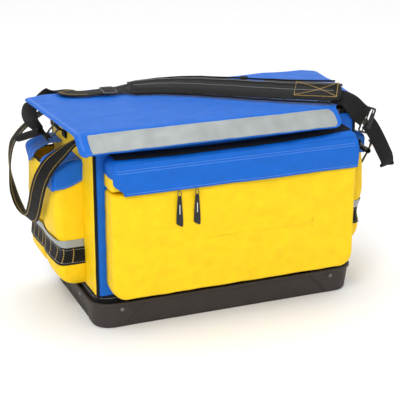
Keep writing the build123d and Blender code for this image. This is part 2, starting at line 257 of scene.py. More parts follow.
MATERIALS = {
    "blue": coated_fabric("blue_cloth", (0.0005, 0.115, 0.53), 0.0, 0.005),
    "yellow": coated_fabric("yellow_cloth", (0.88, 0.58, 0.002), 0.0, 0.005),
    "webbing": webbing_cloth("black_webbing", (0.0035, 0.0032, 0.003)),
    "binding": webbing_cloth("black_binding", (0.004, 0.0037, 0.0035)),
    "tray": pebbled_plastic("moulded_base", (0.032, 0.025, 0.022), 0.6, 0.00025),
    "acetal": pebbled_plastic("buckle_plastic", (0.005, 0.005, 0.0055), 0.42, 0.00006),
    "rubber": pebbled_plastic("pull_rubber", (0.010, 0.010, 0.011), 0.55, 0.0001),
    "teeth": pebbled_plastic("zip_teeth", (0.016, 0.016, 0.017), 0.4, 0.00005),
    "board": pebbled_plastic("stiffener_board", (0.03, 0.03, 0.03), 0.7, 0.0001),
    "metal": worn_metal("dark_metal", (0.10, 0.10, 0.105), 0.34),
    "rivet": worn_metal("rivet_metal", (0.20, 0.19, 0.19), 0.38),
    "tape": silver_tape("silver_tape"),
    "gold": thread("gold_thread", (0.62, 0.40, 0.06)),
    "pale_blue": thread("pale_blue_thread", (0.22, 0.42, 0.86)),
    "grey": thread("grey_thread", (0.42, 0.43, 0.44)),
    "white": thread("white_mark", (0.75, 0.75, 0.73)),
}


# ---- mesh building -------------------------------------------------------------------------
def add_object(name, mesh, material, body, levels=0, solid=0.0, offset=-1.0):
    """Puts a mesh in the scene with its material, modifiers and body."""
    mesh.materials.append(MATERIALS[material])
    for polygon in mesh.polygons:
        polygon.use_smooth = True
    piece = bpy.data.objects.new(name, mesh)
    bpy.context.scene.collection.objects.link(piece)
    if solid:
        thick = piece.modifiers.new("thickness", "SOLIDIFY")
        thick.thickness = solid
        thick.offset = offset
        thick.use_even_offset = True
    if levels:
        subdivide = piece.modifiers.new("subdivision", "SUBSURF")
        subdivide.levels = levels
        subdivide.render_levels = levels
    if body:
        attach(piece, body)
    return piece


def grid_mesh(name, rows, close_u=False, close_v=False):
    """Quads between rows of points, with UVs in metres across and along."""
    mesh = bpy.data.meshes.new(name)
    count = len(rows[0])
    points = [p for row in rows for p in row]
    faces = []
    uvs = []
    across = [0.0]
    middle = rows[len(rows) // 2]
    for a, b in zip(middle, middle[1:] + middle[:1]):
        across.append(across[-1] + (b - a).length)
    along = [0.0]
    for r in range(len(rows)):
        step = (rows[(r + 1) % len(rows)][count // 2] - rows[r][count // 2]).length
        along.append(along[-1] + step)
    for r in range(len(rows) if close_v else len(rows) - 1):
        for c in range(count if close_u else count - 1):
            c2 = (c + 1) % count
            r2 = (r + 1) % len(rows)
            faces.append((r * count + c, r * count + c2, r2 * count + c2, r2 * count + c))
            uvs += [(across[c], along[r]), (across[c + 1], along[r])]
            uvs += [(across[c + 1], along[r + 1]), (across[c], along[r + 1])]
    mesh.from_pydata([tuple(p) for p in points], [], faces)
    layer = mesh.uv_layers.new(name="UVMap")
    for n, uv in enumerate(uvs):
        layer.data[n].uv = uv
    return mesh


def outward(mesh):
    """Turns a closed mesh's faces outwards and joins points that meet."""
    bm = bmesh.new()
    bm.from_mesh(mesh)
    bmesh.ops.remove_doubles(bm, verts=bm.verts, dist=0.00002)
    bmesh.ops.recalc_face_normals(bm, faces=bm.faces)
    bm.to_mesh(mesh)
    bm.free()
    return mesh


def joined(name, meshes):
    """One mesh from several."""
    bm = bmesh.new()
    for mesh in meshes:
        bm.from_mesh(mesh)
        bpy.data.meshes.remove(mesh)
    mesh = bpy.data.meshes.new(name)
    bm.to_mesh(mesh)
    bm.free()
    return mesh


def rounded_rectangle(hx, hy, radii, runs):
    """Points round a rectangle with its own radius at each corner, +x+y first, anticlockwise."""
    points = []
    corners = [(1, 1), (-1, 1), (-1, -1), (1, -1)]
    arc = 10
    for n, (sx, sy) in enumerate(corners):
        r = radii[n]
        centre = Vector((sx * (hx - r), sy * (hy - r)))
        for k in range(arc + 1):
            angle = math.radians(90 * n + 90 * k / arc)
            points.append(centre + r * Vector((math.cos(angle), math.sin(angle))))
        following = corners[(n + 1) % 4]
        r2 = radii[(n + 1) % 4]
        start = points[-1]
        angle = math.radians(90 * (n + 1))
        end = Vector((following[0] * (hx - r2), following[1] * (hy - r2)))
        end += r2 * Vector((math.cos(angle), math.sin(angle)))
        steps = runs[n % 2]
        for k in range(1, steps):
            points.append(start.lerp(end, k / steps))
    return points


def smooth_path(points, steps):
    """A Catmull-Rom line through points, with steps between each pair."""
    points = [Vector(p) for p in points]
    ends = [points[0] * 2 - points[1], *points, points[-1] * 2 - points[-2]]
    line = []
    for n in range(1, len(ends) - 2):
        a, b, c, d = ends[n - 1:n + 3]
        for k in range(steps):
            t = k / steps
            line.append(0.5 * (2 * b + (c - a) * t + (2 * a - 5 * b + 4 * c - d) * t * t
                               + (3 * b - a - 3 * c + d) * t ** 3))
    line.append(points[-1])
    return line


def strap_frames(stations, steps):
    """Smoothed (middle, across, normal) frames along a strap from (point mm, across) stations."""
    middles = smooth_path([Vector(p) * MM for p, across in stations], steps)
    sides = smooth_path([Vector(across) for p, across in stations], steps)
    frames = []
    for n, middle in enumerate(middles):
        before = middles[max(n - 1, 0)]
        after = middles[min(n + 1, len(middles) - 1)]
        along = (after - before).normalized()
        side = sides[n]
        side = (side - along * side.dot(along)).normalized()
        frames.append((middle, side, along.cross(side).normalized()))
    return frames


def strap_mesh(name, frames, width, thick, crown=0.0, ripple=0.0):
    """A flat strap with rounded edges, slightly crowned, lofted along its frames."""
    rows = []
    half = width / 2
    columns = 12
    for n, (middle, side, normal) in enumerate(frames):
        row = []
        for c in range(columns + 1):
            t = -1 + 2 * c / columns
            edge = max(1 - t ** 8, 0.25) * thick / 2
            lift = crown * (1 - t * t) + ripple * rumple(middle + side * t * half, 60.0, 3.0)
            row.append(middle + side * (t * half) + normal * (edge + lift))
        for c in range(columns, -1, -1):
            t = -1 + 2 * c / columns
            edge = max(1 - t ** 8, 0.25) * thick / 2
            lift = crown * (1 - t * t) + ripple * rumple(middle + side * t * half, 60.0, 3.0)
            row.append(middle + side * (t * half) + normal * (lift - edge))
        rows.append(row)
    first = [lerp(rows[0][0], rows[0][-1], 0.5).lerp(lerp(rows[0][columns], rows[0][columns + 1], 0.5),
             abs((c if c <= columns else 2 * columns + 1 - c) / columns)) for c in range(len(rows[0]))]
    last = [lerp(rows[-1][0], rows[-1][-1], 0.5).lerp(lerp(rows[-1][columns], rows[-1][columns + 1], 0.5),
            abs((c if c <= columns else 2 * columns + 1 - c) / columns)) for c in range(len(rows[0]))]
    return outward(grid_mesh(name, [first, *rows, last], close_u=True))


def tube_mesh(name, line, radius, closed=False, sides=10):
    """A round bar or cord along a line."""
    rows = []
    count = len(line)
    normal = Vector((0, 0, 1))
    for n, p in enumerate(line):
        before = line[n - 1] if closed or n else line[0]
        after = line[(n + 1) % count] if closed or n < count - 1 else line[-1]
        along = (after - before).normalized()
        normal = (normal - along * normal.dot(along))
        normal = normal.normalized() if normal.length > 0.05 else along.orthogonal().normalized()
        across = along.cross(normal)
        ring = []
        for k in range(sides):
            angle = 2 * math.pi * k / sides
            ring.append(p + radius * (math.cos(angle) * normal + math.sin(angle) * across))
        rows.append(ring)
    if not closed:
        rows = [[line[0]] * sides, *rows, [line[-1]] * sides]
    return outward(grid_mesh(name, rows, close_u=True, close_v=closed))


def dash(start, end, normal, radius):
    """Points and faces of one stitch, a slim six-sided bead proud of the cloth."""
    along = (end - start).normalized()
    across = along.cross(normal).normalized()
    points = [start]
    for t, size in ((0.18, 0.8), (0.82, 0.8)):
        centre = start.lerp(end, t)
        for k in range(6):
            angle = math.pi * k / 3
            offset = math.cos(angle) * across * 1.2 + math.sin(angle) * normal
            points.append(centre + radius * size * offset * 1.2)
    points.append(end)
    faces = [(0, 1 + (k + 1) % 6, 1 + k) for k in range(6)]
    faces += [(1 + k, 1 + (k + 1) % 6, 7 + (k + 1) % 6, 7 + k) for k in range(6)]
    faces += [(13, 7 + k, 7 + (k + 1) % 6) for k in range(6)]
    return points, faces


def stitches(name, lines, material, body, radius=STITCH_R):
    """Rows of stitches. Each line is a list of (point, surface normal)."""
    points = []
    faces = []
    for line in lines:
        travelled = 0.0
        target = 0.0
        for (a, na), (b, nb) in zip(line, line[1:]):
            length = (b - a).length
            if length < 1e-7:
                continue
            while target <= travelled + length:
                t = (target - travelled) / length
                start = a.lerp(b, t)
                normal = na.lerp(nb, t).normalized()
                end = start + (b - a).normalized() * STITCH_LENGTH
                more, links = dash(start + normal * radius * 0.4, end + normal * radius * 0.4, normal, radius)
                faces += [tuple(k + len(points) for k in face) for face in links]
                points += more
                target += STITCH_PITCH
            travelled += length
    mesh = bpy.data.meshes.new(name)
    mesh.from_pydata([tuple(p) for p in points], [], faces)
    return add_object(name, mesh, material, body)


def frame_line(frames, offset, lift):
    """A stitch line on a strap, offset across it from its middle, on its upper face."""
    return [(m + s * offset + n * lift, n) for m, s, n in frames]


# ---- moulded base ----------------------------------------------------------------------------
def base_tray():
    """Drafted tray with a rolled lip, a rounded foot and a shallow panel on each long face."""
    low, high = node_box("base_tray")
    hx = (high.x - low.x) / 2
    hy = (high.y - low.y) / 2
    top = high.z
    runs = (170, 84)
    wall = 0.0045
    draft = 0.0056
    rows = []
    profile = [(0.0, 0.20, -1), (0.0, 0.10, -1), (0.0, 0.03, -1), (0.0, 0.0155, -1), (0.0006, 0.0125, -1)]
    profile += [(0.0022, 0.0103, -1), (0.0045, 0.0090, -1)]
    for k in range(1, 18):
        t = k / 18
        profile.append((0.0045 + t * (top - 0.0135), 0.0090 - t * draft, 0))
    profile += [(top - 0.0085, 0.0030, 0), (top - 0.0072, 0.0008, 0), (top - 0.0060, 0.0, 0)]
    profile += [(top - 0.0022, 0.0, 0), (top - 0.0008, 0.0006, 0), (top, 0.0022, 0), (top, 0.0046, 0)]
    profile += [(top - 0.0012, wall + 0.0034, 0), (top - 0.008, wall + 0.0040, 0)]
    profile += [(0.0085, wall + 0.0092, 0), (0.0052, wall + 0.0130, 0), (0.0045, wall + 0.06, 0)]
    profile += [(0.0045, 0.15, 0), (0.0045, min(hx, hy) - 0.001, 0)]
    for z, inset, kind in profile:
        r = max(0.0475 - inset * 0.6, 0.002) if inset < 0.03 else 0.03 * max(0.05, 1 - inset / min(hx, hy))
        ring = rounded_rectangle(hx - inset, hy - inset, [r] * 4, runs)
        row = []
        for p in ring:
            q = Vector((p.x, p.y, z))
            if 0.0 < z < top - 0.009 and inset < 0.012:
                q = tray_panel(q, hx, hy)
            row.append(q)
        rows.append(row)
    cap = min(hx, hy) - 0.001
    ring = rounded_rectangle(hx - cap, hy - cap, [0.0005] * 4, runs)
    rows.insert(0, [Vector((p.x, p.y, 0.0)) for p in ring])
    mesh = outward(grid_mesh("tray_moulding", rows, close_u=True))
    piece = add_object("tray_moulding", mesh, "tray", "bag")
    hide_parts("base_tray")


def tray_panel(q, hx, hy):
    """Presses the long faces in between two S-shaped shoulders, and the ends by a plain panel."""
    depth = 0.0042
    edge = 0.0028
    on_long = abs(q.y) > hy - 0.02
    reach = 0.212 + 0.040 * smooth((0.058 - q.z) / 0.048) if on_long else 0.105
    place = abs(q.x) if on_long else abs(q.y)
    side = smooth((reach - place) / edge + 0.5)
    roof = smooth((0.0545 - q.z) / edge + 0.5)
    push = depth * side * roof
    if on_long:
        q.y -= math.copysign(push, q.y)
    elif abs(q.x) > hx - 0.02:
        q.x -= math.copysign(push, q.x)
    return q


def tray_rivets():
    """Domed rivet heads with a washer ring."""
    meshes = []
    low, high = node_box("tray_rivets")
    z = (low.z + high.z) / 2
    places = [(sx * 0.268, sy * (high.y - 0.0028), 0, sy) for sx in (-1, 1) for sy in (-1, 1)]
    places += [(sx * (high.x - 0.0030), sy * 0.06, sx, 0) for sx in (-1, 1) for sy in (-1, 1)]
    profile = [(0.0052, 0.0), (0.0052, 0.0007), (0.0047, 0.0010), (0.0042, 0.0009), (0.0040, 0.0014)]
    profile += [(0.0034, 0.0021), (0.0022, 0.0026), (0.0008, 0.0028), (0.00001, 0.0028)]
    for x, y, nx, ny in places:
        normal = Vector((nx, ny, 0))
        across = Vector((-ny, nx, 0))
        rows = []
        for r, h in profile:
            ring = []
            for k in range(24):
                angle = 2 * math.pi * k / 24
                offset = across * math.cos(angle) + Vector((0, 0, 1)) * math.sin(angle)
                ring.append(Vector((x, y, z)) + normal * h + offset * r)
            rows.append(ring)
        meshes.append(grid_mesh("rivet", rows, close_u=True))
    piece = add_object("rivet_heads", outward(joined("rivet_heads", meshes)), "rivet", "bag")
    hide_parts("tray_rivets")


def base_skirt():
    """The black binding between tray and cloth, with a stitched top edge."""
    low, high = node_box("base_skirt")
    hx = high.x
    hy = high.y
    runs = (120, 64)
    rows = []
    profile = [(low.z, 0.0), (0.062, 0.0), (0.070, -0.0012), (0.077, -0.0016), (high.z + 0.001, -0.0006)]
    profile += [(high.z + 0.0025, 0.0018), (high.z + 0.0012, 0.0045), (0.07, 0.0046), (low.z, 0.0044)]
    for z, inset in profile:
        ring = rounded_rectangle(hx - inset, hy - inset, [0.036] * 4, runs)
        rows.append([Vector((p.x, p.y, z + 0.0006 * rumple((p.x, p.y, 0), 30.0))) for p in ring])
    rows.append(rows[0])
    mesh = outward(grid_mesh("skirt_binding", rows, close_u=True))
    piece = add_object("skirt_binding", mesh, "binding", "bag")
    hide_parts("base_skirt")
    ring = rounded_rectangle(hx + 0.0016, hy + 0.0016, [0.037] * 4, runs)
    line = [(Vector((p.x, p.y, 0.0755)), Vector((p.x / hx, p.y / hy, 0)).normalized()) for p in ring]
    stitches("skirt_stitching", [line], "grey", "bag")


def sheet_piece(name, rows, material, body, thick, towards, levels=0):
    """An open cloth surface given its thickness on the side away from `towards`."""
    mesh = grid_mesh(name, rows)
    mesh.update()
    facing = sum((polygon.normal.dot(Vector(towards)) * polygon.area for polygon in mesh.polygons))
    if facing < 0:
        mesh.flip_normals()
    return add_object(name, mesh, material, body, levels=levels, solid=thick)


# ---- body ------------------------------------------------------------------------------------
def body_bulge(t, z, low, high):
    """How far a wall of the bag swells outwards, from its place along the wall and its height."""
    rise = math.sin(math.pi * min(max((z - low) / (high - low), 0), 1))
    return (1 - abs(t) ** 3) * rise


def body_walls():
    """The bag's four cloth walls, cut from one rounded shell with sagging sides."""
    low = node_box("front_panel")[0]
    top = node_box("front_panel")[1].z
    hx = node_box("left_panel")[0].x * -1
    hy = -low.y
    corner = 0.016
    cloth = 0.004
    walls = {
        "front_panel": ("blue", Vector((0, -1, 0)), hx, hy, 0.004),
        "back_panel": ("blue", Vector((0, 1, 0)), hx, hy, 0.007),
        "left_panel": ("yellow", Vector((-1, 0, 0)), hy, hx, 0.004),
        "right_panel": ("yellow", Vector((1, 0, 0)), hy, hx, 0.004),
    }
    for node, (material, normal, half, out, swell) in walls.items():
        along = Vector((0, 0, 1)).cross(normal)
        rows = []
        for r in range(49):
            z = lerp(low.z, top + 0.001, r / 48)
            row = []
            for c in range(91):
                t = -1 + 2 * c / 90
                a = t * half
                overrun = max(abs(a) - (half - corner), 0)
                angle = overrun / corner * math.radians(45)
                q = a - math.copysign(overrun, a) + math.copysign(corner * math.sin(angle), a)
                d = out - corner * (1 - math.cos(angle))
                d += swell * body_bulge(t, z, low.z, top) + 0.0012 * rumple((a, z, out), 14.0, 5.0)
                d += 0.0016 * rumple((a * 0.25, z, out), 30.0, 9.0) * (1 - abs(t) ** 6)
                row.append(along * q + normal * d + Vector((0, 0, z)))
            rows.append(row)
        piece = sheet_piece(node.replace("_panel", "_wall"), rows, material, "bag", cloth, normal, levels=1)
        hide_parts(node)


def body_piping():
    """Corded binding down the four corners."""
    low, high = node_box("corner_piping")
    meshes = []
    for sx in (-1, 1):
        for sy in (-1, 1):
            line = []
            for k in range(60):
                z = lerp(low.z - 0.002, high.z, k / 59)
                wobble = 0.0008 * rumple((sx, sy, z), 25.0)
                line.append(Vector((sx * (high.x - 0.0036) + wobble, sy * (high.y - 0.0036) + wobble, z)))
            meshes.append(tube_mesh("piping", line, 0.0036))
    piece = add_object("corner_binding", joined("corner_binding", meshes), "binding", "bag")
    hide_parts("corner_piping")


def u_path(hx, back, front, radius):
    """A level path from the right back round the front to the left back, with outward normals."""
    points = []
    for k in range(40):
        points.append((Vector((hx, lerp(back, front + radius, k / 40), 0)), Vector((1, 0, 0))))
    for sx in (1, -1):
        if sx < 0:
            for k in range(1, 110):
                x = lerp(hx - radius, radius - hx, k / 110)
                points.append((Vector((x, front, 0)), Vector((0, -1, 0))))
        for k in range(13):
            angle = math.radians(90 * k / 12)
            normal = Vector((sx * math.cos(angle), -math.sin(angle), 0))
            if sx < 0:
                normal = Vector((-math.sin(angle), -math.cos(angle), 0))
            centre = Vector((sx * (hx - radius), front + radius, 0))
            points.append((centre + radius * normal, normal))
    for k in range(1, 41):
        points.append((Vector((-hx, lerp(front + radius, back, k / 40), 0)), Vector((-1, 0, 0))))
    return points


def edge_band(name, node, material, body, thick=0.003):
    """A tape standing on edge that runs round the right, front and left of the bag's mouth."""
    low, high = node_box(node)
    rows = []
    for p, normal in u_path(high.x, high.y, low.y, 0.03):
        wave = 0.0005 * rumple(p, 20.0)
        section = [(0, low.z), (0, high.z), (-thick, high.z), (-thick, low.z), (0, low.z)]
        rows.append([p + normal * (d + wave) + Vector((0, 0, z)) for d, z in section])
    piece = add_object(name, outward(grid_mesh(name, rows)), material, body)
    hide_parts(node)
    return piece


def tooth(centre, along, up, out, size):
    """One zip tooth: a block with its outer edges drawn in."""
    l, h, d = size
    points = []
    for a, b, c in ((-1, -1, 0), (1, -1, 0), (1, 1, 0), (-1, 1, 0), (-.6, -.8, 1), (.6, -.8, 1), (.6, .8, 1), (-.6, .8, 1)):
        points.append(centre + along * (a * l / 2) + up * (b * h / 2) + out * (c * d))
    faces = [(3, 2, 1, 0), (4, 5, 6, 7), (0, 1, 5, 4), (1, 2, 6, 5), (2, 3, 7, 6), (3, 0, 4, 7)]
    return points, faces


def zip_teeth(name, node, path, up, size, body):
    """Two rows of teeth that mesh along a path of (point, outward normal)."""
    points = []
    faces = []
    travelled = 0.0
    target = 0.0
    count = 0
    for (a, na), (b, nb) in zip(path, path[1:]):
        length = (b - a).length
        while target < travelled + length:
            t = (target - travelled) / length
            shift = up * (size[1] * (0.22 if count % 2 else -0.22))
            more, links = tooth(a.lerp(b, t) + shift, (b - a).normalized(), up, na.lerp(nb, t).normalized(), size)
            faces += [tuple(k + len(points) for k in face) for face in links]
            points += more
            target += ZIP_PITCH / 2
            count += 1
        travelled += length
    mesh = bpy.data.meshes.new(name)
    mesh.from_pydata([tuple(p) for p in points], [], faces)
    piece = add_object(name, outward_only(mesh), "teeth", body)
    for polygon in mesh.polygons:
        polygon.use_smooth = False
    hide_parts(node)
    return piece


def outward_only(mesh):
    """Turns faces outwards without joining points."""
    bm = bmesh.new()
    bm.from_mesh(mesh)
    bmesh.ops.recalc_face_normals(bm, faces=bm.faces)
    bm.to_mesh(mesh)
    bm.free()
    return mesh


def main_zip():
    """The zip round the bag's mouth, its two tapes and the gusset behind the lid."""
    edge_band("mouth_tape", "main_zip_tape", "binding", "bag")
    edge_band("lid_edge_tape", "lid_zip_tape", "binding", "lid")
    low, high = node_box("main_zip_chain")
    path = u_path(high.x - 0.0012, high.y, low.y + 0.0012, 0.03)
    middle = Vector((0, 0, (low.z + high.z) / 2))
    path = [(p + middle, normal) for p, normal in path]
    zip_teeth("mouth_zip_teeth", "main_zip_chain", path, Vector((0, 0, 1)), (0.0022, 0.0022, 0.0016), "bag")
    low, high = node_box("back_gusset")
    lid = Lid()
    bottom, top = low.z - 0.002, lid.top - LID_T - GUSSET_ROOM
    back = min(high.y - 0.001, lid.back - 0.003)
    rows = []
    for r in range(13):
        z = lerp(bottom, top, r / 12)
        rows.append([Vector((x, back + 0.001 * rumple((x, 0, z), 20.0), z))
                     for x in [lerp(low.x, high.x, c / 80) for c in range(81)]])
    piece = sheet_piece("hinge_gusset", rows, "blue", None, 0.002, (0, 1, 0))
    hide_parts("back_gusset")
    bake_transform(piece)


def rounded_block(name, low, high, bevel, material, body, taper=0.0):
    """A moulded or cast block with rounded edges, narrower at its front by taper."""
    bm = bmesh.new()
    bmesh.ops.create_cube(bm, size=1.0)
    size = high - low
    centre = (low + high) / 2
    for vertex in bm.verts:
        shrink = 1 - taper if vertex.co.y < 0 else 1
        vertex.co = Vector((vertex.co.x * size.x * shrink, vertex.co.y * size.y, vertex.co.z * size.z * shrink)) + centre
    bmesh.ops.bevel(bm, geom=bm.edges, offset=bevel, segments=4, profile=0.6, affect="EDGES")
    mesh = bpy.data.meshes.new(name)
    bm.to_mesh(mesh)
    bm.free()
    return add_object(name, mesh, material, body)


def slider(name, node, body):
    """A zip slider: a waisted body with a raised bridge for its pull."""
    low, high = node_box(node)
    meshes = []
    middle = (low + high) / 2
    rows = []
    for k in range(13):
        t = -1 + k / 6
        half = (high.x - low.x) / 2 * (0.72 + 0.28 * abs(t) ** 1.5) * (1 if abs(t) < 0.95 else 0.86)
        z = middle.z + t * (high.z - low.z) / 2
        ring = []
        for a, b in ((-1, 0.2), (-0.8, 0.75), (0, 1.0), (0.8, 0.75), (1, 0.2), (0.9, 0), (0, 0), (-0.9, 0)):
            ring.append(Vector((middle.x + a * half, high.y - b * (high.y - low.y) * 0.62, z)))
        rows.append(ring)
    rows = [[sum(rows[0], Vector()) / 8] * 8, *rows, [sum(rows[-1], Vector()) / 8] * 8]
    meshes.append(outward(grid_mesh("slider", rows, close_u=True)))
    bridge = smooth_path([(middle.x, high.y - 0.003, lerp(low.z, high.z, 0.8)), (middle.x, low.y + 0.0012, lerp(low.z, high.z, 0.7)),
                          (middle.x, low.y + 0.0006, lerp(low.z, high.z, 0.4)), (middle.x, high.y - 0.003, lerp(low.z, high.z, 0.18))], 6)
    meshes.append(tube_mesh("bridge", bridge, 0.0013))
    piece = add_object(name, joined(name, meshes), "metal", body, levels=1)
    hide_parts(node)


def pull(name, node, body):
    """A moulded rubber pull that widens to a slanted end, hung from a metal eye, with a pale inlay."""
    low, high = node_box(node)
    middle = (low + high) / 2
    length = high.z - low.z
    half_t = (high.y - low.y) / 2
    half_w = (high.x - low.x) / 2 * 1.55
    middle.y -= 0.0014
    eye = length * 0.12
    rows = []
    profile = [(0.0, 0.36), (0.02, 0.52), (0.10, 0.58), (0.35, 0.72), (0.6, 0.88), (0.85, 0.98), (0.96, 0.96), (1.0, 0.80)]
    for t, w in profile:
        ring = []
        for k in range(16):
            angle = 2 * math.pi * k / 16
            c = math.copysign(abs(math.cos(angle)) ** 0.45, math.cos(angle)) * half_w * w
            d = math.copysign(abs(math.sin(angle)) ** 0.7, math.sin(angle)) * half_t * (0.7 + 0.3 * w)
            slant = c * 0.55 * smooth((t - 0.8) / 0.2)
            z = high.z - eye - t * (length - eye - half_w * 0.55) - slant
            ring.append(Vector((middle.x + c, middle.y + d, z)))
        rows.append(ring)
    rows = [[sum(rows[0], Vector()) / 16] * 16, *rows, [sum(rows[-1], Vector()) / 16] * 16]
    piece = add_object(name, outward(grid_mesh(name, rows, close_u=True)), "rubber", body, levels=1)
    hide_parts(node)
    loop = []
    for k in range(28):
        angle = 2 * math.pi * k / 28
        loop.append(Vector((middle.x + half_w * 0.5 * math.cos(angle), middle.y,
                            high.z - eye * 0.62 + eye * 0.75 * math.sin(angle))))
    add_object(name + "_eye", tube_mesh(name + "_eye", loop, 0.0009, closed=True), "metal", body, levels=1)
    mark_low = Vector((middle.x - half_w * 0.10, low.y - 0.0018, high.z - length * 0.62))
    mark_high = Vector((middle.x + half_w * 0.10, low.y - 0.0006, high.z - length * 0.36))
    rounded_block(name + "_mark", mark_low, mark_high, 0.0003, "white", body)


YOKE_BLUE = 0.046
POCKET_SAG = 0.012


# ---- front pocket ------------------------------------------------------------------------------
def pocket_front(name, x0, x1, z0, z1, radii, back, front, swell, fall, material, sag=0.0):
    """A closed, softly filled cap standing out from the bag's front wall."""
    cx = (x0 + x1) / 2
    cz = (z0 + z1) / 2
    hx = (x1 - x0) / 2
    hz = (z1 - z0) / 2
    depth = back - front
    rows = []
    profile = [(0.012, 0.0), (0.0, 0.0), (0.0, 0.25), (-0.0012, 0.5), (-0.0006, 0.72), (0.0, 0.86)]
    profile += [(0.0015, 0.94), (0.004, 0.985), (0.0075, 1.0), (0.011, 1.0), (0.016, 1.0), (0.022, 1.0)]
    inset = 0.03
    while inset < hz - 0.008:
        profile.append((inset, 1.0))
        inset += 0.0085
    for inset, t in profile:
        corner = [max(r - inset, hz * 0.002) if inset < r else 0.0015 for r in radii]
        ring = rounded_rectangle(hx - inset, hz - inset, corner, (130, 44))
        row = []
        for p in ring:
            x = cx + p.x
            z = cz + p.y
            y = back - depth * t
            if t == 1.0:
                u = abs(p.x) / hx
                v = (z - z0) / (z1 - z0)
                crown = (1 - u ** 4) * (1 - abs(2 * v ** fall - 1) ** 2.6)
                edge = smooth((inset - 0.004) / 0.05)
                y -= swell * crown * edge
                y -= 0.0020 * edge * rumple((x * 0.5, 0, z), 16.0, 4.0)
                y -= 0.0022 * edge * rumple((x * 0.28, 0, z * 1.5), 24.0, 7.0) * (1 - u ** 6)
                y -= 0.0016 * smooth(1 - inset / 0.06) * smooth(inset / 0.012) * rumple((x, 0, z), 55.0, 2.0)
            else:
                drift = 0.0014 * rumple((x, y, z), 26.0, 1.0)
                x += drift * p.x / hx
                z += drift * p.y / hz
            row.append(Vector((x, y, z - pocket_sag(x / hx, z, z1, sag))))
        rows.append(row)
    middle_z = cz
    last = rows[-1]
    rows.append([Vector((p.x, p.y, middle_z)) for p in last])
    mesh = outward(grid_mesh(name, rows, close_u=True))
    return add_object(name, mesh, material, "bag")


def pocket_sag(u, z, top, sag):
    """How far the top edge of the front pocket hangs down, most at a third of the way along."""
    return sag * (1 - min(abs(u + 0.18) / 1.15, 1) ** 2.5) * smooth((z - top + 0.035) / 0.03)


def front_pocket():
    """Yellow front pocket, its blue yoke, zip and edge cord."""
    low, high = node_box("front_pocket_panel")
    back = node_box("front_panel")[0].y - 0.0005
    piece = pocket_front("front_pocket_cap", low.x, high.x, low.z, high.z, [0.008, 0.008, 0.034, 0.034],
                         back, low.y - 0.0005, 0.0042, 1.5, "yellow")
    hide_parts("front_pocket_panel", "front_pocket_gusset")
    low, high = node_box("front_pocket_yoke")
    piece = pocket_front("front_pocket_top", low.x, high.x, low.z, high.z, [0.02, 0.02, 0.006, 0.006],
                         back, low.y - 0.0005, 0.003, 1.0, "blue", sag=POCKET_SAG)
    piece.data.materials.append(MATERIALS["yellow"])
    for polygon in piece.data.polygons:
        polygon.material_index = 1 if polygon.center.z < high.z - YOKE_BLUE else 0
    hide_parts("front_pocket_yoke")
    # A black sheet over the pocket's top: painted shadow for the dark gap under the lid's front edge, standing in also
    # for the black zip tape there.
    rows = []
    top = high.z + 0.0036
    for r in range(9):
        y = lerp(back, low.y + 0.012, r / 8)
        rows.append([Vector((x, y, top - 0.0012 * (r / 8) ** 4 - pocket_sag(x / high.x, top, high.z, POCKET_SAG)))
                     for x in [lerp(low.x + 0.012, high.x - 0.012, c / 120) for c in range(121)]])
    piece = sheet_piece("pocket_top_shadow_and_tape", rows, "binding", "bag", 0.001, (0, 0, 1))
    low, high = node_box("front_pocket_panel")
    # A black cord along the pocket's top edge under the storm flap: an edge binding, and painted shadow for the dark
    # line beneath the flap.
    line = [Vector((lerp(low.x + 0.052, high.x - 0.006, k / 60), low.y - 0.0008, high.z - 0.0022 + 0.0006 * rumple((k, 0, 0), 0.2)))
            for k in range(61)]
    edge = add_object("front_zip_edge_and_flap_shadow", tube_mesh("front_zip_edge_and_flap_shadow", line, 0.0021), "binding", "bag")
    low, high = node_box("front_zip_tape")
    rows = []
    for r in range(5):
        z = lerp(low.z, high.z, r / 4)
        rows.append([Vector((lerp(low.x + 0.03, high.x, c / 60), low.y - 0.0006, z)) for c in range(61)])
    piece = sheet_piece("front_zip_cloth", rows, "binding", "bag", 0.0012, (0, -1, 0))
    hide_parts("front_zip_tape")
    low, high = node_box("front_zip_chain")
    z = (low.z + high.z) / 2
    path = [(Vector((lerp(low.x + 0.036, high.x, k / 100), high.y - 0.0008, z)), Vector((0, -1, 0))) for k in range(101)]
    zip_teeth("front_zip_teeth", "front_zip_chain", path, Vector((0, 0, 1)), (0.0022, 0.0032, 0.0022), "bag")


def front_flap():
    """The storm flap over the front zip: a long strip with an angled left end and a double-stitched top."""
    low, high = node_box("front_pocket_flap")
    end_cut = 0.026
    cut_height = 0.030
    rows = []
    fall = high.z - low.z
    normals = []
    for r in range(29):
        t = r / 28
        z = high.z - t * fall
        row = []
        left = low.x - 0.0045 + end_cut * smooth((low.z + cut_height - z) / cut_height + 0.08) + 0.012 * max(0, 1 - t / 0.16) ** 2
        right = high.x + 0.0045 - 0.006 * max(0, 1 - t / 0.12) ** 2
        for c in range(181):
            x = lerp(left, right, c / 180)
            y = lerp(high.y + 0.0005, low.y + 0.0008, smooth(t / 0.34))
            free = smooth(t * 1.3)
            y -= 0.0030 * free * rumple((x * 0.20, 0, z), 34.0, 12.0)
            y -= 0.0018 * free * rumple((x, 0, z * 0.4), 22.0, 3.0)
            y -= 0.0010 * math.sin(math.pi * t)
            dip = 0.0012 * rumple((x, 0, 0), 9.0, 2.0) * t
            row.append(Vector((x, y, z + dip)))
        rows.append(row)
    piece = sheet_piece("storm_flap", rows, "blue", "front_flap", 0.0022, (0, -1, 0))
    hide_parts("front_pocket_flap")
    lines = []
    for r in (5, 7):
        lines.append([(p + Vector((0, -0.0001, 0)), Vector((0, -1, 0))) for p in rows[r][3:-3]])
    lines.append([(p, Vector((0, -1, 0))) for p in rows[26][2:-2]])
    stitches("storm_flap_stitching", lines, "pale_blue", "front_flap")


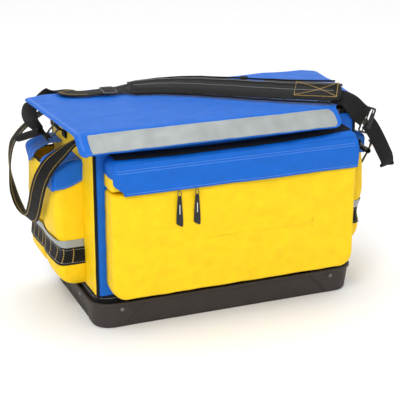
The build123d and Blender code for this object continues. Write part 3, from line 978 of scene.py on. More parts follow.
# ---- side pockets ---------------------------------------------------------------------------------
POCKET_BAND_Z = 0.168
SIDE_SWELL = {-1: 0.0085, 1: 0.013}
WAIST = {-1: 0.014, 1: 0.004}
CORNER_FILL = {-1: 0.003, 1: 0.010}
POCKET_SPANS = [(node_box(f"left_{place}_pocket")[0].y, node_box(f"left_{place}_pocket")[1].y) for place in ("front", "rear")]
POCKET_FRONT_Y = POCKET_SPANS[0][0]
FLAP_DROP = {"front": 0.018, "rear": 0.004}


def side_outline(sign, y0, y1, depth, inset, z, z0, z1, lift, filled=True):
    """A level line round a side pocket from the bag's wall, out, along and back."""
    wall = node_box("right_panel")[1].x
    fillet = 0.016
    y0 = y0 + inset * 0.4
    y1 = y1 - inset * 0.4
    depth = max(depth - inset, 0.0)
    r = min(fillet, max(depth, 0.0001))
    flat = []
    for k in range(11):
        flat.append((lerp(0, depth - r, k / 10), y0 - lift))
    for k in range(1, 9):
        a = math.radians(90 * k / 8)
        flat.append((depth - r + (r + lift) * math.sin(a), y0 + r - (r + lift) * math.cos(a)))
    steps = 44
    for k in range(1, steps):
        t = k / steps
        flat.append((depth + lift, lerp(y0 + r, y1 - r, t)))
    for k in range(9):
        a = math.radians(90 - 90 * k / 8)
        flat.append((depth - r + (r + lift) * math.sin(a), y1 - r + (r + lift) * math.cos(a)))
    for k in range(1, 11):
        flat.append((lerp(depth - r, 0, k / 10), y1 + lift))
    v = (z - z0) / (z1 - z0)
    waist = math.exp(-((z - POCKET_BAND_Z) / 0.034) ** 2)
    fill = math.sin(math.pi * min(max(v, 0), 1)) ** 0.7 * (1 - 0.85 * waist)
    points = []
    for d, y in flat:
        reach = d / max(depth, 0.001)
        corner = math.exp(-((y - POCKET_FRONT_Y) / 0.055) ** 2)
        x = wall + d + SIDE_SWELL[sign] * belly(y) * fill * reach
        x -= reach * WAIST[sign] * waist * (0.3 + 0.7 * corner)
        x += reach * CORNER_FILL[sign] * corner * fill
        wander = rumple((d, y, z * 0.8), 26.0, 6.0 * sign) * 0.0026 + rumple((d, y * 1.8, z * 0.6), 50.0, 3.0 * sign) * 0.0014
        if filled:
            x += wander * (1 - waist) * (1 if d > depth * 0.2 else 0)
            y += wander * (1 - waist) * (0.5 if d < depth * 0.98 else 0)
        points.append(Vector((sign * x, y, z)))
    return points


def belly(y):
    """How full the side pockets are at a place along the end wall: nothing at their seams, 1 in their middles."""
    for low, high in POCKET_SPANS:
        if low < y < high:
            return math.sin(math.pi * (y - low) / (high - low)) ** 0.8
    return 0.0


def side_pocket(side, place):
    """An open yellow cup sewn to the end wall, bellied above and below its webbing band."""
    sign = SIDES[side]
    low, high = node_box(f"{side}_{place}_pocket")
    wall = node_box("right_panel")[1].x
    depth = (high.x if sign > 0 else -low.x) - wall - 0.001
    bottom = low.z
    foot = 0.034
    foot_height = 0.048
    rows = [side_outline(sign, low.y, high.y, depth, depth - 0.002, bottom + 0.001, bottom, high.z, 0, False)]
    rows.append(side_outline(sign, low.y, high.y, depth, foot + 0.008, bottom, bottom, high.z, 0, False))
    for k in range(9):
        angle = math.radians(90 * k / 8)
        inset = foot * (1 - math.sin(angle))
        rows.append(side_outline(sign, low.y, high.y, depth, inset, bottom + foot_height * (1 - math.cos(angle)), bottom, high.z, 0))
    for k in range(1, 43):
        z = lerp(bottom + foot_height, high.z, k / 42)
        rows.append(side_outline(sign, low.y, high.y, depth, 0.0, z, bottom, high.z, 0))
    name = f"{side}_{place}_cup"
    piece = sheet_piece(name, rows, "yellow", "bag", 0.0026, (sign, 0, 0), levels=1)
    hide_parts(f"{side}_{place}_pocket")
    hem = [p + Vector((sign * 0.0004, 0, -0.0015)) for p in rows[-1]]
    rim = add_object(name + "_hem", tube_mesh(name + "_hem", hem, 0.0028), "binding", "bag")
    seam = []
    centre = Vector((0, (low.y + high.y) / 2, 0))
    for row, previous in ((rows[-3], rows[-4]),):
        for p in row[10:-10]:
            out = Vector((sign * 1.0, (p.y - centre.y) * 4.0, 0)).normalized()
            seam.append((p, out))
    stitches(name + "_stitching", [seam], "grey", "bag")


def flap_skirt(edge, sign):
    """The flap's front end, turned down over the pocket's front face, with a curved bottom hem."""
    roll = 0.009
    corner = next(n for n, p in enumerate(edge) if abs(p.x) > abs(edge[-1].x) - 0.006)
    top = edge[:corner + 1]
    inner = abs(edge[0].x)
    outer = abs(edge[-1].x)
    rows = []
    for r in range(25):
        t = r / 24
        row = []
        for n, p in enumerate(top):
            across = (abs(p.x) - inner) / (outer - inner)
            bottom = edge[-1].z - 0.002 + 0.020 * (1 - across) ** 2.2 + 0.003 * across ** 6
            fall = (p.z - bottom) * t
            angle = min(fall / roll, math.pi / 2)
            drop = roll * (1 - math.cos(angle)) + max(fall - roll * math.pi / 2, 0)
            fold = 0.0022 * rumple((p.x, 0, p.z - drop), 34.0, 5.0 + sign) * t
            fold += 0.0018 * math.exp(-((drop - 0.009) / 0.003) ** 2)
            row.append(Vector((p.x, p.y - roll * math.sin(angle) - fold, p.z - drop)))
        below = [q for q in edge[corner:]]
        place = t * (len(below) - 1)
        k = min(int(place), len(below) - 2)
        row.append(below[k].lerp(below[k + 1], place - k))
        rows.append(row)
    return rows


def cloth_from(name, grids, material, body, thick, towards):
    """One cloth surface sewn from several grids, thickened away from `towards`."""
    bm = bmesh.new()
    for mesh in grids:
        bm.from_mesh(mesh)
        bpy.data.meshes.remove(mesh)
    bmesh.ops.remove_doubles(bm, verts=bm.verts, dist=0.00005)
    bmesh.ops.recalc_face_normals(bm, faces=bm.faces)
    mesh = bpy.data.meshes.new(name)
    bm.to_mesh(mesh)
    bm.free()
    if sum(polygon.normal.dot(Vector(towards)) * polygon.area for polygon in mesh.polygons) < 0:
        mesh.flip_normals()
    return add_object(name, mesh, material, body, levels=1, solid=thick)


def side_flap(side, place):
    """A blue pocket flap draped over the pocket's mouth, round-ended in front and pointed behind."""
    sign = SIDES[side]
    low, high = node_box(f"{side}_{place}_flap")
    inner = high.x if sign < 0 else -low.x
    inner = abs(inner)
    outer = abs(low.x if sign < 0 else high.x)
    profile = [(inner - 0.001, high.z - 0.003), (inner + 0.03, high.z - 0.004), (outer - 0.022, high.z - 0.011)]
    profile += [(outer - 0.004, high.z - 0.020), (outer + 0.0015, high.z - 0.034), (outer + 0.003, low.z - FLAP_DROP[place])]
    line = smooth_path([(x, 0, z) for x, z in profile], 12)
    lengths = [0.0]
    for a, b in zip(line, line[1:]):
        lengths.append(lengths[-1] + (b - a).length)
    total = lengths[-1]

    def along(distance):
        for n in range(1, len(line)):
            if lengths[n] >= distance:
                t = (distance - lengths[n - 1]) / (lengths[n] - lengths[n - 1])
                return line[n - 1].lerp(line[n], t)
        return line[-1]

    columns = 48
    count = 40
    front_edge = low.y if place == "rear" else POCKET_FRONT_Y + 0.0045
    rows = []
    for r in range(count + 1):
        row = []
        for c in range(columns + 1):
            u = -1 + 2 * c / columns
            reach = total - 0.030 * (1 - math.sqrt(max(1 - max(u, 0) ** 5, 0)))
            if place == "rear":
                reach = total - 0.026 * abs(u) ** 1.15
            p = along(reach * r / count)
            t = r / count
            y = lerp(front_edge, high.y, (u + 1) / 2)
            wrinkle = 0.0020 * rumple((p.x * 0.6, y, p.z), 26.0, 8.0 + sign) + 0.0012 * rumple((p.x, y * 2, p.z), 40.0, sign)
            sag = -0.004 * math.sin(math.pi * min(t * 1.6, 1)) * (1 - u * u)
            row.append(Vector((sign * (p.x + wrinkle * t), y, p.z + wrinkle * 0.6 + sag)))
        rows.append(row)
    name = f"{side}_{place}_cover"
    grids = [grid_mesh(name, rows)]
    skirt = []
    if place == "front":
        skirt = flap_skirt([row[0] for row in rows], sign)
        grids.append(grid_mesh(name, skirt))
    piece = cloth_from(name, grids, "blue", f"{side}_{place}_flap", 0.0024, (sign, 0, 1))
    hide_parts(f"{side}_{place}_flap")
    if skirt:
        hem = [(row_point + Vector((0, -0.0004, 0)), Vector((0, -1, 0))) for row_point in skirt[-3][1:-2]]
        stitches(name + "_skirt_stitching", [hem], "pale_blue", f"{side}_{place}_flap")
    left = [(row[1] + Vector((sign * 0.0003, 0, 0.0003)), Vector((sign, 0, 0.4)).normalized()) for row in rows[2:]]
    bottom = [(p + Vector((sign * 0.0004, 0, 0)), Vector((sign, 0, 0))) for p in rows[-3][2:-2]]
    right = [(row[-2] + Vector((sign * 0.0003, 0, 0.0003)), Vector((sign, 0, 0.4)).normalized()) for row in rows[2:]]
    stitches(name + "_stitching", [left, bottom, right], "pale_blue", f"{side}_{place}_flap")


def side_band(side, node, name, material, z0, z1, lift, thick):
    """Tape sewn round the pair of side pockets, following their swell."""
    sign = SIDES[side]
    low, high = node_box(node)
    wall = node_box("right_panel")[1].x
    depth = (high.x if sign > 0 else -low.x) - wall - 0.0015
    front = low.y + 0.002
    back = high.y
    rows = []
    for r in range(9):
        z = lerp(z0, z1, r / 8)
        outline = side_outline(sign, front, back, depth, 0.0, z, 0.084, 0.352, lift, False)
        row = []
        for p in outline[:-16]:
            ripple = 0.0009 * rumple((p.x, p.y, z * 0.3), 45.0, 2.0)
            row.append(p + Vector((sign * (ripple + 0.0016), 0, 0)))
        rows.append(row)
    piece = sheet_piece(name, rows, material, "bag", thick, (sign, 0, 0))
    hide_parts(node)
    return rows, sign


def side_bands(side):
    """Black webbing with gold bartacks, and the silver tape above it."""
    low, high = node_box(f"{side}_webbing_band")
    rows, sign = side_band(side, f"{side}_webbing_band", f"{side}_band", "webbing", low.z, high.z, 0.0010, 0.0016)
    outward_x = Vector((sign, 0, 0))
    lines = []
    columns = len(rows[0])
    for fraction in (0.12, 0.22, 0.34, 0.46, 0.58, 0.66, 0.78, 0.88, 0.97):
        c = int(fraction * (columns - 1))
        for shift in (0, 0.0012):
            line = []
            for row in rows[1:-1]:
                p = row[c]
                before = row[max(c - 1, 0)]
                after = row[min(c + 1, columns - 1)]
                tangent = (after - before).normalized()
                normal = tangent.cross(Vector((0, 0, 1)))
                normal = normal if normal.dot(Vector((sign, -0.2, 0))) > 0 else -normal
                line.append((p + tangent * shift, normal.normalized()))
            lines.append(line)
    edge = [[(p, outward_x if abs(p.x) > 0.38 else Vector((0, -1, 0))) for p in rows[r]] for r in (1, 7)]
    stitches(f"{side}_bartacks", lines, "gold", "bag", radius=0.0006)
    stitches(f"{side}_band_stitching", edge, "grey", "bag")
    low, high = node_box(f"{side}_reflective_band")
    side_band(side, f"{side}_reflective_band", f"{side}_silver_band", "tape", low.z, high.z, 0.0012, 0.0008)


# ---- lid ---------------------------------------------------------------------------------------------
LID_T = 0.0042
GUSSET_ROOM = 0.0006
FRONT_BEND = 0.014


class Lid:
    """The lid's one continuous surface: x along the bag, s down it from the back edge."""

    def __init__(self):
        low, high = node_box("lid_panel")
        strip_low, strip_high = node_box("lid_front_strip")
        self.back = high.y
        self.top = high.z + 0.0003
        self.half = high.x
        self.front = low.y
        self.left_front = strip_low.x
        self.right_front = strip_high.x
        self.end = Vector((0, strip_low.y + 0.002, strip_low.z + 0.0062))
        fall = (self.top - self.end.z)
        self.angle = math.atan2(fall, self.front - strip_low.y)
        self.flat = self.back - self.front - FRONT_BEND * math.tan(self.angle / 2)
        self.slope = math.hypot(fall, self.front - strip_low.y) - FRONT_BEND * math.tan(self.angle / 2)
        self.length = self.flat + FRONT_BEND * self.angle + self.slope
        right = [(self.back, self.half), (0.090, 0.383), (0.010, 0.374), (-0.050, 0.364), (-0.090, 0.353)]
        right += [(-0.128, 0.330), (-0.152, 0.300), (-0.172, 0.272), (self.front, self.right_front)]
        self.right = right

    def place(self, x, s):
        """Surface point and normal, with the lid's crown, its ripples and its drooping edges."""
        bend_end = self.flat + FRONT_BEND * self.angle
        if s <= self.flat:
            point = Vector((x, self.back - s, self.top))
            angle = 0.0
        elif s <= bend_end:
            angle = (s - self.flat) / FRONT_BEND
            point = Vector((x, self.back - self.flat - FRONT_BEND * math.sin(angle),
                            self.top - FRONT_BEND * (1 - math.cos(angle))))
        else:
            angle = self.angle
            more = s - bend_end
            point = Vector((x, self.back - self.flat - FRONT_BEND * math.sin(angle) - more * math.cos(angle),
                            self.top - FRONT_BEND * (1 - math.cos(angle)) - more * math.sin(angle)))
        normal = Vector((0, -math.sin(angle), math.cos(angle)))
        u = x / self.half
        v = min(s / self.flat, 1.0)
        crown = 0.0035 * math.exp(-(u / 0.62) ** 2) * math.sin(math.pi * (0.12 + 0.78 * v)) * (1 - u ** 4)
        crown *= 1 - smooth((s - self.flat + 0.05) / 0.07)
        ripple = 0.0016 * rumple((x, s * 1.5, 0), 11.0, 4.0)
        ripple += 0.0011 * (1 - abs(rumple((x * 0.7 + s * 0.5, s * 1.3 - x * 0.3, 0), 9.0, 2.0))) ** 6
        slope = smooth((s - self.flat) / 0.02)
        wave = slope * (0.0024 * rumple((x, s * 0.3, 0), 15.0, 8.0) + 0.0012 * rumple((x, s, 0), 38.0, 5.0))
        droop = -0.005 * smooth((abs(u) - 0.8) / 0.2) ** 2 * (1 - v * 0.4)
        return point + normal * (crown + ripple * (1 - slope) + wave) + Vector((0, 0, droop)), normal

    def reach(self, s):
        """Left and right ends at a distance down from the back edge."""
        y = self.back - s
        v = min(s / self.flat, 1.0)
        left = -lerp(self.half, -self.left_front, v)
        right = self.right_front
        for (y0, x0), (y1, x1) in zip(self.right, self.right[1:]):
            if y1 <= y <= y0:
                right = lerp(x0, x1, (y0 - y) / (y0 - y1))
        for corner, amount in ((0.022, 1), (0.014, -1)):
            into = s - (self.length - corner)
            if into > 0:
                cut = corner - math.sqrt(max(corner ** 2 - into ** 2, 0))
                right -= cut if amount > 0 else 0
                left += cut if amount < 0 else 0
        into = 0.018 - s
        if into > 0:
            cut = 0.018 - math.sqrt(max(0.018 ** 2 - into ** 2, 0))
            left += cut
            right -= cut
        return left, right


def lid_cover():
    """The blue lid: one padded cloth sheet, crowned, with its front turned down."""
    lid = Lid()
    steps = [lid.length * k / 84 for k in range(85)]
    rows = []
    for s in steps:
        left, right = lid.reach(s)
        rows.append([lid.place(lerp(left, right, c / 150), s)[0] for c in range(151)])
    piece = sheet_piece("lid_cover", rows, "blue", "lid", LID_T, (0, 0, 1), levels=1)
    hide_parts("lid_panel", "lid_front_strip")
    lines = []
    margin = 0.007
    for row_margin in (margin, 0.0105):
        side = []
        for s in steps[2:-3]:
            left, right = lid.reach(s)
            side.append(lid.place(left + row_margin, s))
        lines.append(side)
    right_side = []
    for s in steps[2:int(84 * 0.84)]:
        left, right = lid.reach(s)
        right_side.append(lid.place(right - margin, s))
    lines.append(right_side)
    back_line = [lid.place(lerp(-lid.half + 0.02, lid.half - 0.02, k / 120), margin) for k in range(121)]
    front_line = []
    left, right = lid.reach(lid.length - 0.02)
    for k in range(121):
        front_line.append(lid.place(lerp(left + 0.008, right - 0.012, k / 120), lid.length - 0.0032))
    lines += [back_line, front_line]
    stitches("lid_stitching", lines, "pale_blue", "lid")
    binding = []
    for s in steps:
        binding.append(lid.place(lid.reach(s)[0], s)[0] - Vector((0, 0, LID_T / 2)))
    add_object("lid_left_edge", tube_mesh("lid_left_edge", binding, LID_T * 0.56), "blue", "lid", levels=1)


def lid_tape():
    """Silver tape along the turned-down front, rippled, with a rounded right end and a stitched edge."""
    lid = Lid()
    low, high = node_box("lid_reflective_tape")
    first = lid.flat + FRONT_BEND * lid.angle + 0.001
    last = lid.length - 0.0018
    rows = []
    for r in range(19):
        s = lerp(first, last, r / 18)
        v = -1 + 2 * r / 18
        round_end = 0.014 * (1 - math.sqrt(max(1 - abs(v) ** 3, 0)))
        row = []
        for c in range(181):
            x = lerp(low.x + 0.002 * abs(v) ** 4, high.x - round_end, c / 180)
            point, normal = lid.place(x, s)
            crease = 0.0018 * math.exp(-((x - low.x - 0.028 - 0.006 * v) / 0.004) ** 2)
            lift = 0.0013 + 0.0007 * rumple((x, s * 0.2, 0), 38.0, 3.0) - crease * 0.5
            row.append(point + normal * lift)
        rows.append(row)
    piece = sheet_piece("lid_silver_tape", rows, "tape", "lid", 0.0007, (0, -1, 1), levels=1)
    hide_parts("lid_reflective_tape")
    normal = Vector((0, -math.sin(lid.angle), math.cos(lid.angle)))
    lines = [[(p, normal) for p in rows[r][2:-3]] for r in (1, 17)]
    lines.append([(row[2], normal) for row in rows[1:-1]])
    stitches("lid_tape_stitching", lines, "grey", "lid")


# ---- carrying handles and strap -------------------------------------------------------------------------
HANDLE = [((-337, -104, 437), (0, 1, 0)), ((-354, -104, 429), (-0.1, 1, 0.05)), ((-372, -104, 416), (-0.3, 0.9, 0.2))]
HANDLE += [((-404, -100, 388), (-0.55, 0.7, 0.45)), ((-421, -86, 352), (-0.64, 0.55, 0.53)), ((-425, -58, 310), (-0.67, 0.5, 0.55))]
HANDLE += [((-424, -20, 262), (-0.68, 0.47, 0.56)), ((-422, 22, 226), (-0.7, 0.4, 0.58)), ((-425, 66, 213), (-0.75, 0, 0.66))]
HANDLE += [((-430, 108, 228), (-0.75, -0.4, 0.5)), ((-436, 136, 262), (-0.6, -0.75, 0.25)), ((-438, 150, 312), (-0.2, -0.97, 0.1))]
HANDLE += [((-428, 164, 361), (0, -1, 0)), ((-408, 172, 388), (0, -1, 0)), ((-380, 173, 412), (0, -1, 0))]
HANDLE += [((-356, 173, 429), (0, -1, 0)), ((-338, 173, 437), (0, -1, 0))]

STRAP_DROP_LEFT = [((-374, 42, 416), (0.1, 1, 0.1)), ((-388, 50, 430), (0.4, 0.85, 0.3)), ((-398, 72, 442), (0.95, 0.4, 0.1))]
STRAP_DROP_LEFT += [((-392, 118, 450), (1, 0.2, 0)), ((-374, 164, 457), (1, 0.38, 0)), ((-347, 196, 460), (1, -0.35, 0.1))]
STRAP_DROP_LEFT += [((-318, 207, 466), (0.8, -0.2, -0.5)), ((-300, 190, 478), (0.9, 0.3, -0.1)), ((-292, 168, 483), (1, 0.35, 0))]
STRAP_LEFT = [((-292, 164, 482.6), (1, 0.35, 0)), ((-280, 134, 483.4), (0.85, 0.68, 0)), ((-252, 119, 484.6), (0.42, 1, 0))]
STRAP_LEFT += [((-222, 114.5, 486.4), (0.15, 1, 0)), ((-196, 114, 488.4), (0.08, 1, 0)), ((-172, 114, 487.6), (0.1, 1, 0.03))]
STRAP_LEFT += [((-146, 115, 490), (0.3, 1, 0.08)), ((-122, 113, 493), (0.5, 0.85, 0.12))]
STRAP_RIGHT = [((268, -154, 493), (0.5, 0.72, 0.48)), ((294, -169, 488), (0.48, 0.66, 0.57)), ((312, -177, 473), (0.52, 0.3, 0.78))]
STRAP_RIGHT += [((328, -178.5, 455), (0.42, 0.04, 0.9)), ((346, -179.5, 440), (0.34, 0, 0.94))]
STRAP_DROP_RIGHT = [((352, -179.2, 428), (0.36, 0, 0.93)), ((366, -179.4, 410), (0.6, 0, 0.8)), ((382, -179, 384), (0.85, 0, 0.53))]
STRAP_DROP_RIGHT += [((400, -178, 352), (0.86, 0.02, 0.5)), ((413, -176, 328), (0.92, 0.1, 0.36)), ((418, -169, 311), (1, 0.3, 0))]
STRAP_DROP_RIGHT += [((417, -161, 319), (1, 0.5, 0)), ((412, -154, 338), (0.8, 0.6, 0)), ((398, -148, 356), (0.4, 0.9, 0.1))]
STRAP_DROP_RIGHT += [((382, -144, 366), (0.1, 1, 0.1))]
FALL_CUT = (-0.394, 0.100, 0.448)
STRAP_ROLL = ((-386, 32, 428), (-426, 92, 398))
ROLL_TURNS = 2.4
PAD = [((-156, 108, 492), (0.50, 0.80, 0.16)), ((-90, 80, 496.5), (0.49, 0.77, 0.26)), ((-26, 42, 500), (0.48, 0.74, 0.36))]
PAD += [((46, -10, 502), (0.47, 0.72, 0.41)), ((120, -63, 502.5), (0.47, 0.71, 0.45)), ((222, -130, 500), (0.47, 0.70, 0.50))]
PAD += [((290, -168, 491), (0.47, 0.68, 0.55))]
PAD_W = 0.073
PAD_T = 0.0085
PAD_CLEARANCE = 0.0075
KEEPER = ((94, -26, 507), (110, -2, 519))


def mirrored(stations, sign):
    """Stations given for the left side, on either side."""
    return [((-sign * x, y, z), (-sign * a, b, c)) for (x, y, z), (a, b, c) in stations]


def carry_handle(side):
    """A webbing handle that leaves its two anchors, droops and twists once, double-stitched in gold."""
    sign = SIDES[side]
    stations = mirrored(HANDLE, sign)
    frames = strap_frames(stations, 9)
    name = f"{side}_handle_webbing"
    body = f"handle_{side}"
    piece = add_object(name, strap_mesh(name, frames, 0.038, 0.0036, crown=0.0010, ripple=0.0005), "webbing", body, levels=1)
    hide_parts(f"carry_handle_{side}")
    lines = []
    for offset in (-0.0125, 0.0125):
        for lift in (0.0020, -0.0020):
            crown = 0.0010 * (1 - (offset / 0.019) ** 2)
            line = frame_line(frames, offset, lift + crown)
            lines.append(line if lift > 0 else [(p, -normal) for p, normal in line])
    stitches(name + "_stitching", lines, "gold", body, radius=0.0006)


def handle_anchors():
    """The sewn webbing tabs that hold the handles, each with a gold box stitch."""
    low, high = node_box("handle_anchors")
    meshes = []
    lines = []
    wall = node_box("right_panel")[1].x
    for sign in (-1, 1):
        for y0, y1 in ((low.y, low.y + 0.034), (high.y - 0.016, high.y)):
            middle = (y0 + y1) / 2
            stations = []
            for k in range(6):
                z = lerp(high.z, low.z, k / 5)
                stations.append(((sign * (wall + 0.0034) / MM, middle / MM, z / MM), (0, 1, 0)))
            frames = strap_frames(stations, 4)
            meshes.append(strap_mesh("tab", frames, y1 - y0, 0.003))
            half = (y1 - y0) / 2 - 0.003
            corners = [(-half, low.z + 0.004), (half, low.z + 0.004), (half, high.z - 0.006), (-half, high.z - 0.006)]
            corners += [corners[0], corners[2], corners[3], corners[1]]
            x = sign * (wall + 0.0034 + 0.0016)
            lines.append([(Vector((x, middle + a, z)), Vector((sign, 0, 0))) for a, z in corners])
    piece = add_object("handle_tabs", joined("handle_tabs", meshes), "webbing", "bag", levels=1)
    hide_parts("handle_anchors")
    stitches("handle_tab_stitching", lines, "gold", "bag", radius=0.0005)


def d_ring(side):
    """A welded D-ring on its sewn loop, and the strap end that wraps its bow."""
    sign = SIDES[side]
    low, high = node_box(f"d_ring_{side}")
    wire = 0.0025
    y = (low.y + high.y) / 2
    half = (high.y - low.y) / 2 - wire
    hinge = Vector((sign * (abs(high.x if sign < 0 else low.x) + wire), y, high.z - wire))
    out = Vector((sign, 0, -1)).normalized()
    depth = ((high.x - low.x) - 2 * wire) * math.sqrt(2)
    shape = []
    corner = 0.005
    for k in range(9):
        shape.append((lerp(-half + corner, half - corner, k / 8), 0.0))
    for k in range(1, 7):
        a = math.radians(90 * k / 6)
        shape.append((half - corner + corner * math.sin(a), corner * (1 - math.cos(a))))
    straight = depth - half
    for k in range(1, 5):
        shape.append((half, lerp(corner, max(straight, corner + 0.001), k / 4)))
    for k in range(1, 24):
        a = math.pi * k / 24
        shape.append((half * math.cos(a), max(straight, corner + 0.001) + half * math.sin(a)))
    for k in range(5):
        shape.append((-half, lerp(max(straight, corner + 0.001), corner, k / 4)))
    for k in range(1, 6):
        a = math.radians(90 * k / 6)
        shape.append((-half + corner * (1 - math.cos(a)), corner * (1 - math.sin(a))))
    line = [hinge + Vector((0, a, 0)) + out * b for a, b in shape]
    ring = add_object(f"{side}_strap_ring", tube_mesh("ring", line, wire, closed=True, sides=14), "metal", f"ring_{side}", levels=1)
    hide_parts(f"d_ring_{side}")
    drop = (high.z - wire - 0.434) / MM
    centre = y / MM
    loop = [(327.3, 405), (327.6, 420), (328.6, 430), (332, 438), (339, 441.5), (346, 440), (350, 434), (346, 428), (339, 426.5)]
    loop += [(333, 422), (330.8, 414), (330.6, 406)]
    stations = [((sign * x, centre, z + drop), (0, 1, 0)) for x, z in loop]
    frames = strap_frames(stations, 5)
    anchor = add_object(f"{side}_ring_loop", strap_mesh("loop", frames, 0.033, 0.0024), "webbing", "bag", levels=1)
    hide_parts(f"d_ring_anchor_{side}")
    tip = hinge + out * depth
    roll = []
    for k in range(16):
        a = math.radians(-60 + 300 * k / 15)
        r = 0.0052 + 0.0012 * k / 15
        p = tip + r * (out * math.cos(a) + Vector((sign, 0, 1)).normalized() * math.sin(a))
        roll.append((tuple(p / MM), (0, 1, 0)))
    frames = strap_frames(roll, 3)
    wrap = add_object(f"{side}_strap_wrap", strap_mesh("wrap", frames, 0.034, 0.0028), "webbing", f"ring_{side}", levels=1)
    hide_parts(f"strap_end_{side}")


def strap_piece(name, stations, width, thick, body, steps=9, crown=0.0006, stitch_offsets=(), ripple=0.0004):
    frames = strap_frames(stations, steps)
    piece = add_object(name, strap_mesh(name, frames, width, thick, crown=crown, ripple=ripple), "webbing", body, levels=1)
    lines = []
    for offset in stitch_offsets:
        lines.append(frame_line(frames, offset, thick / 2 + crown * 0.6))
        lines.append([(p, -normal) for p, normal in frame_line(frames, offset, -thick / 2 + crown * 0.6)])
    return piece, frames, lines


def strap_roll():
    """The strap's spare tail at the left ring, rolled up on itself."""
    a, b = [Vector(p) * MM for p in STRAP_ROLL]
    side = (b - a).normalized()
    middle = (a + b) / 2
    up = (Vector((0, 0, 1)) - side * side.z).normalized()
    across = side.cross(up)
    line = []
    for k in range(61):
        t = k / 60
        angle = 2 * math.pi * ROLL_TURNS * t
        radius = lerp(0.003, 0.0115, t)
        line.append(middle + radius * (math.cos(angle) * up * 0.85 + math.sin(angle) * across) + side * 0.003 * t)
    frames = []
    for n in range(1, len(line) - 1):
        along = (line[n + 1] - line[n - 1]).normalized()
        frames.append((line[n], side, along.cross(side).normalized()))
    mesh = strap_mesh("strap_roll", frames, (b - a).length, 0.0024, ripple=0.0003)
    piece = add_object("strap_roll", mesh, "webbing", "bag", levels=1)


def shoulder_strap():
    """Webbing from the left ring over the lid's back edge, the pad, and down to the right ring."""
    frames = strap_frames(STRAP_DROP_LEFT, 9)
    cut = min(range(len(frames)), key=lambda n: (frames[n][0] - Vector(FALL_CUT)).length)
    tail = add_object("strap_tail_left", strap_mesh("strap_tail_left", frames[:cut + 1], 0.036, WEBBING_T, crown=0.0006), "webbing", None, levels=1)
    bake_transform(tail)
    drop = add_object("strap_fall_left", strap_mesh("strap_fall_left", frames[cut:], 0.036, WEBBING_T, crown=0.0006), "webbing", None, levels=1)
    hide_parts("strap_drop_left")
    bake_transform(drop)
    webbing, frames, lines = strap_piece("strap_left", STRAP_LEFT, 0.050, WEBBING_T, "lid")
    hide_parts("strap_webbing_left")
    near = frames[2:20]
    lines = [frame_line(near, offset, 0.0018) for offset in (-0.019, 0.019)]
    m, s, n = near[0]
    lines.append([(m + s * lerp(-0.019, 0.019, k / 8) + n * 0.0018, n) for k in range(9)])
    stitches("strap_left_stitching", lines, "gold", "lid", radius=0.0006)
    webbing, frames, lines = strap_piece("strap_right", STRAP_RIGHT, 0.048, WEBBING_T, "lid")
    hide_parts("strap_webbing_right")
    fall, frames, lines = strap_piece("strap_fall_right", STRAP_DROP_RIGHT, 0.038, WEBBING_T, "bag")
    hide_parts("strap_drop_right")


def swell(piece, pressure, cap, voxel):
    """Inflates a closed padded piece with a short cloth simulation and keeps the result."""
    mesh = piece.data
    before = [v.co.copy() for v in mesh.vertices]
    tree_mesh = mesh.copy()
    remesh = piece.modifiers.new("voxels", "REMESH")
    remesh.mode = "VOXEL"
    remesh.voxel_size = voxel
    apply_modifiers(piece)
    start = [v.co.copy() for v in piece.data.vertices]
    cloth = piece.modifiers.new("cloth", "CLOTH")
    cloth.settings.use_pressure = True
    cloth.settings.uniform_pressure_force = pressure
    cloth.settings.effector_weights.gravity = 0
    cloth.settings.quality = 6
    cloth.settings.mass = 0.3
    cloth.settings.tension_stiffness = 25
    cloth.settings.compression_stiffness = 8
    cloth.settings.bending_stiffness = 0.6
    cloth.point_cache.frame_start = 1
    cloth.point_cache.frame_end = 20
    for number in range(1, 21):
        bpy.context.scene.frame_set(number)
    shaped = bpy.data.meshes.new_from_object(piece.evaluated_get(bpy.context.evaluated_depsgraph_get()))
    piece.modifiers.clear()
    for vertex, origin in zip(shaped.vertices, start):
        step = vertex.co - origin
        if step.length > cap:
            vertex.co = origin + step.normalized() * cap
    old = piece.data
    piece.data = shaped
    bpy.data.meshes.remove(old)
    bpy.data.meshes.remove(tree_mesh)
    bpy.context.scene.frame_set(1)
    for polygon in piece.data.polygons:
        polygon.use_smooth = True
    return before


def apply_modifiers(piece):
    """Keeps a piece's evaluated mesh and drops its modifiers."""
    evaluated = piece.evaluated_get(bpy.context.evaluated_depsgraph_get())
    shaped = bpy.data.meshes.new_from_object(evaluated)
    piece.modifiers.clear()
    old = piece.data
    piece.data = shaped
    bpy.data.meshes.remove(old)


def pad_section(frames):
    """Rows of a slim padded strap, thinner and bowed back towards its edges."""
    rows = []
    columns = 20
    half = PAD_W / 2
    last = len(frames) - 1
    for n, (middle, side, normal) in enumerate(frames):
        taper = min(1.0, 0.35 + 0.65 * smooth(min(n, last - n) / 3.0))
        narrow = 1 - 0.10 * (1 - smooth(min(n, last - n) / 4.0))
        row = []
        for face in (1, -1):
            order = range(columns + 1) if face > 0 else range(columns, -1, -1)
            for c in order:
                t = -1 + 2 * c / columns
                thick = max((1 - abs(t) ** 5), 0.16) * taper * PAD_T / 2
                bow = 0.0020 * (t * t)
                row.append(middle + side * (t * half * narrow) + normal * (face * thick - bow))
        rows.append(row)
    rows.insert(0, [sum(rows[0], Vector()) / len(rows[0])] * len(rows[0]))
    rows.append([sum(rows[-1], Vector()) / len(rows[-1])] * len(rows[-1]))
    return rows


def resting_on_lid(frames):
    """The pad's frames, lifted where its lower edge would sink into the lid."""
    lid = Lid()
    rested = []
    for middle, side, normal in frames:
        low_edge = middle - side * (PAD_W / 2)
        surface = lid.place(low_edge.x, min(max(lid.back - low_edge.y, 0), lid.flat))[0].z
        rise = max(surface + PAD_CLEARANCE - low_edge.z, 0)
        rested.append((middle + Vector((0, 0, rise)), side, normal))
    return rested


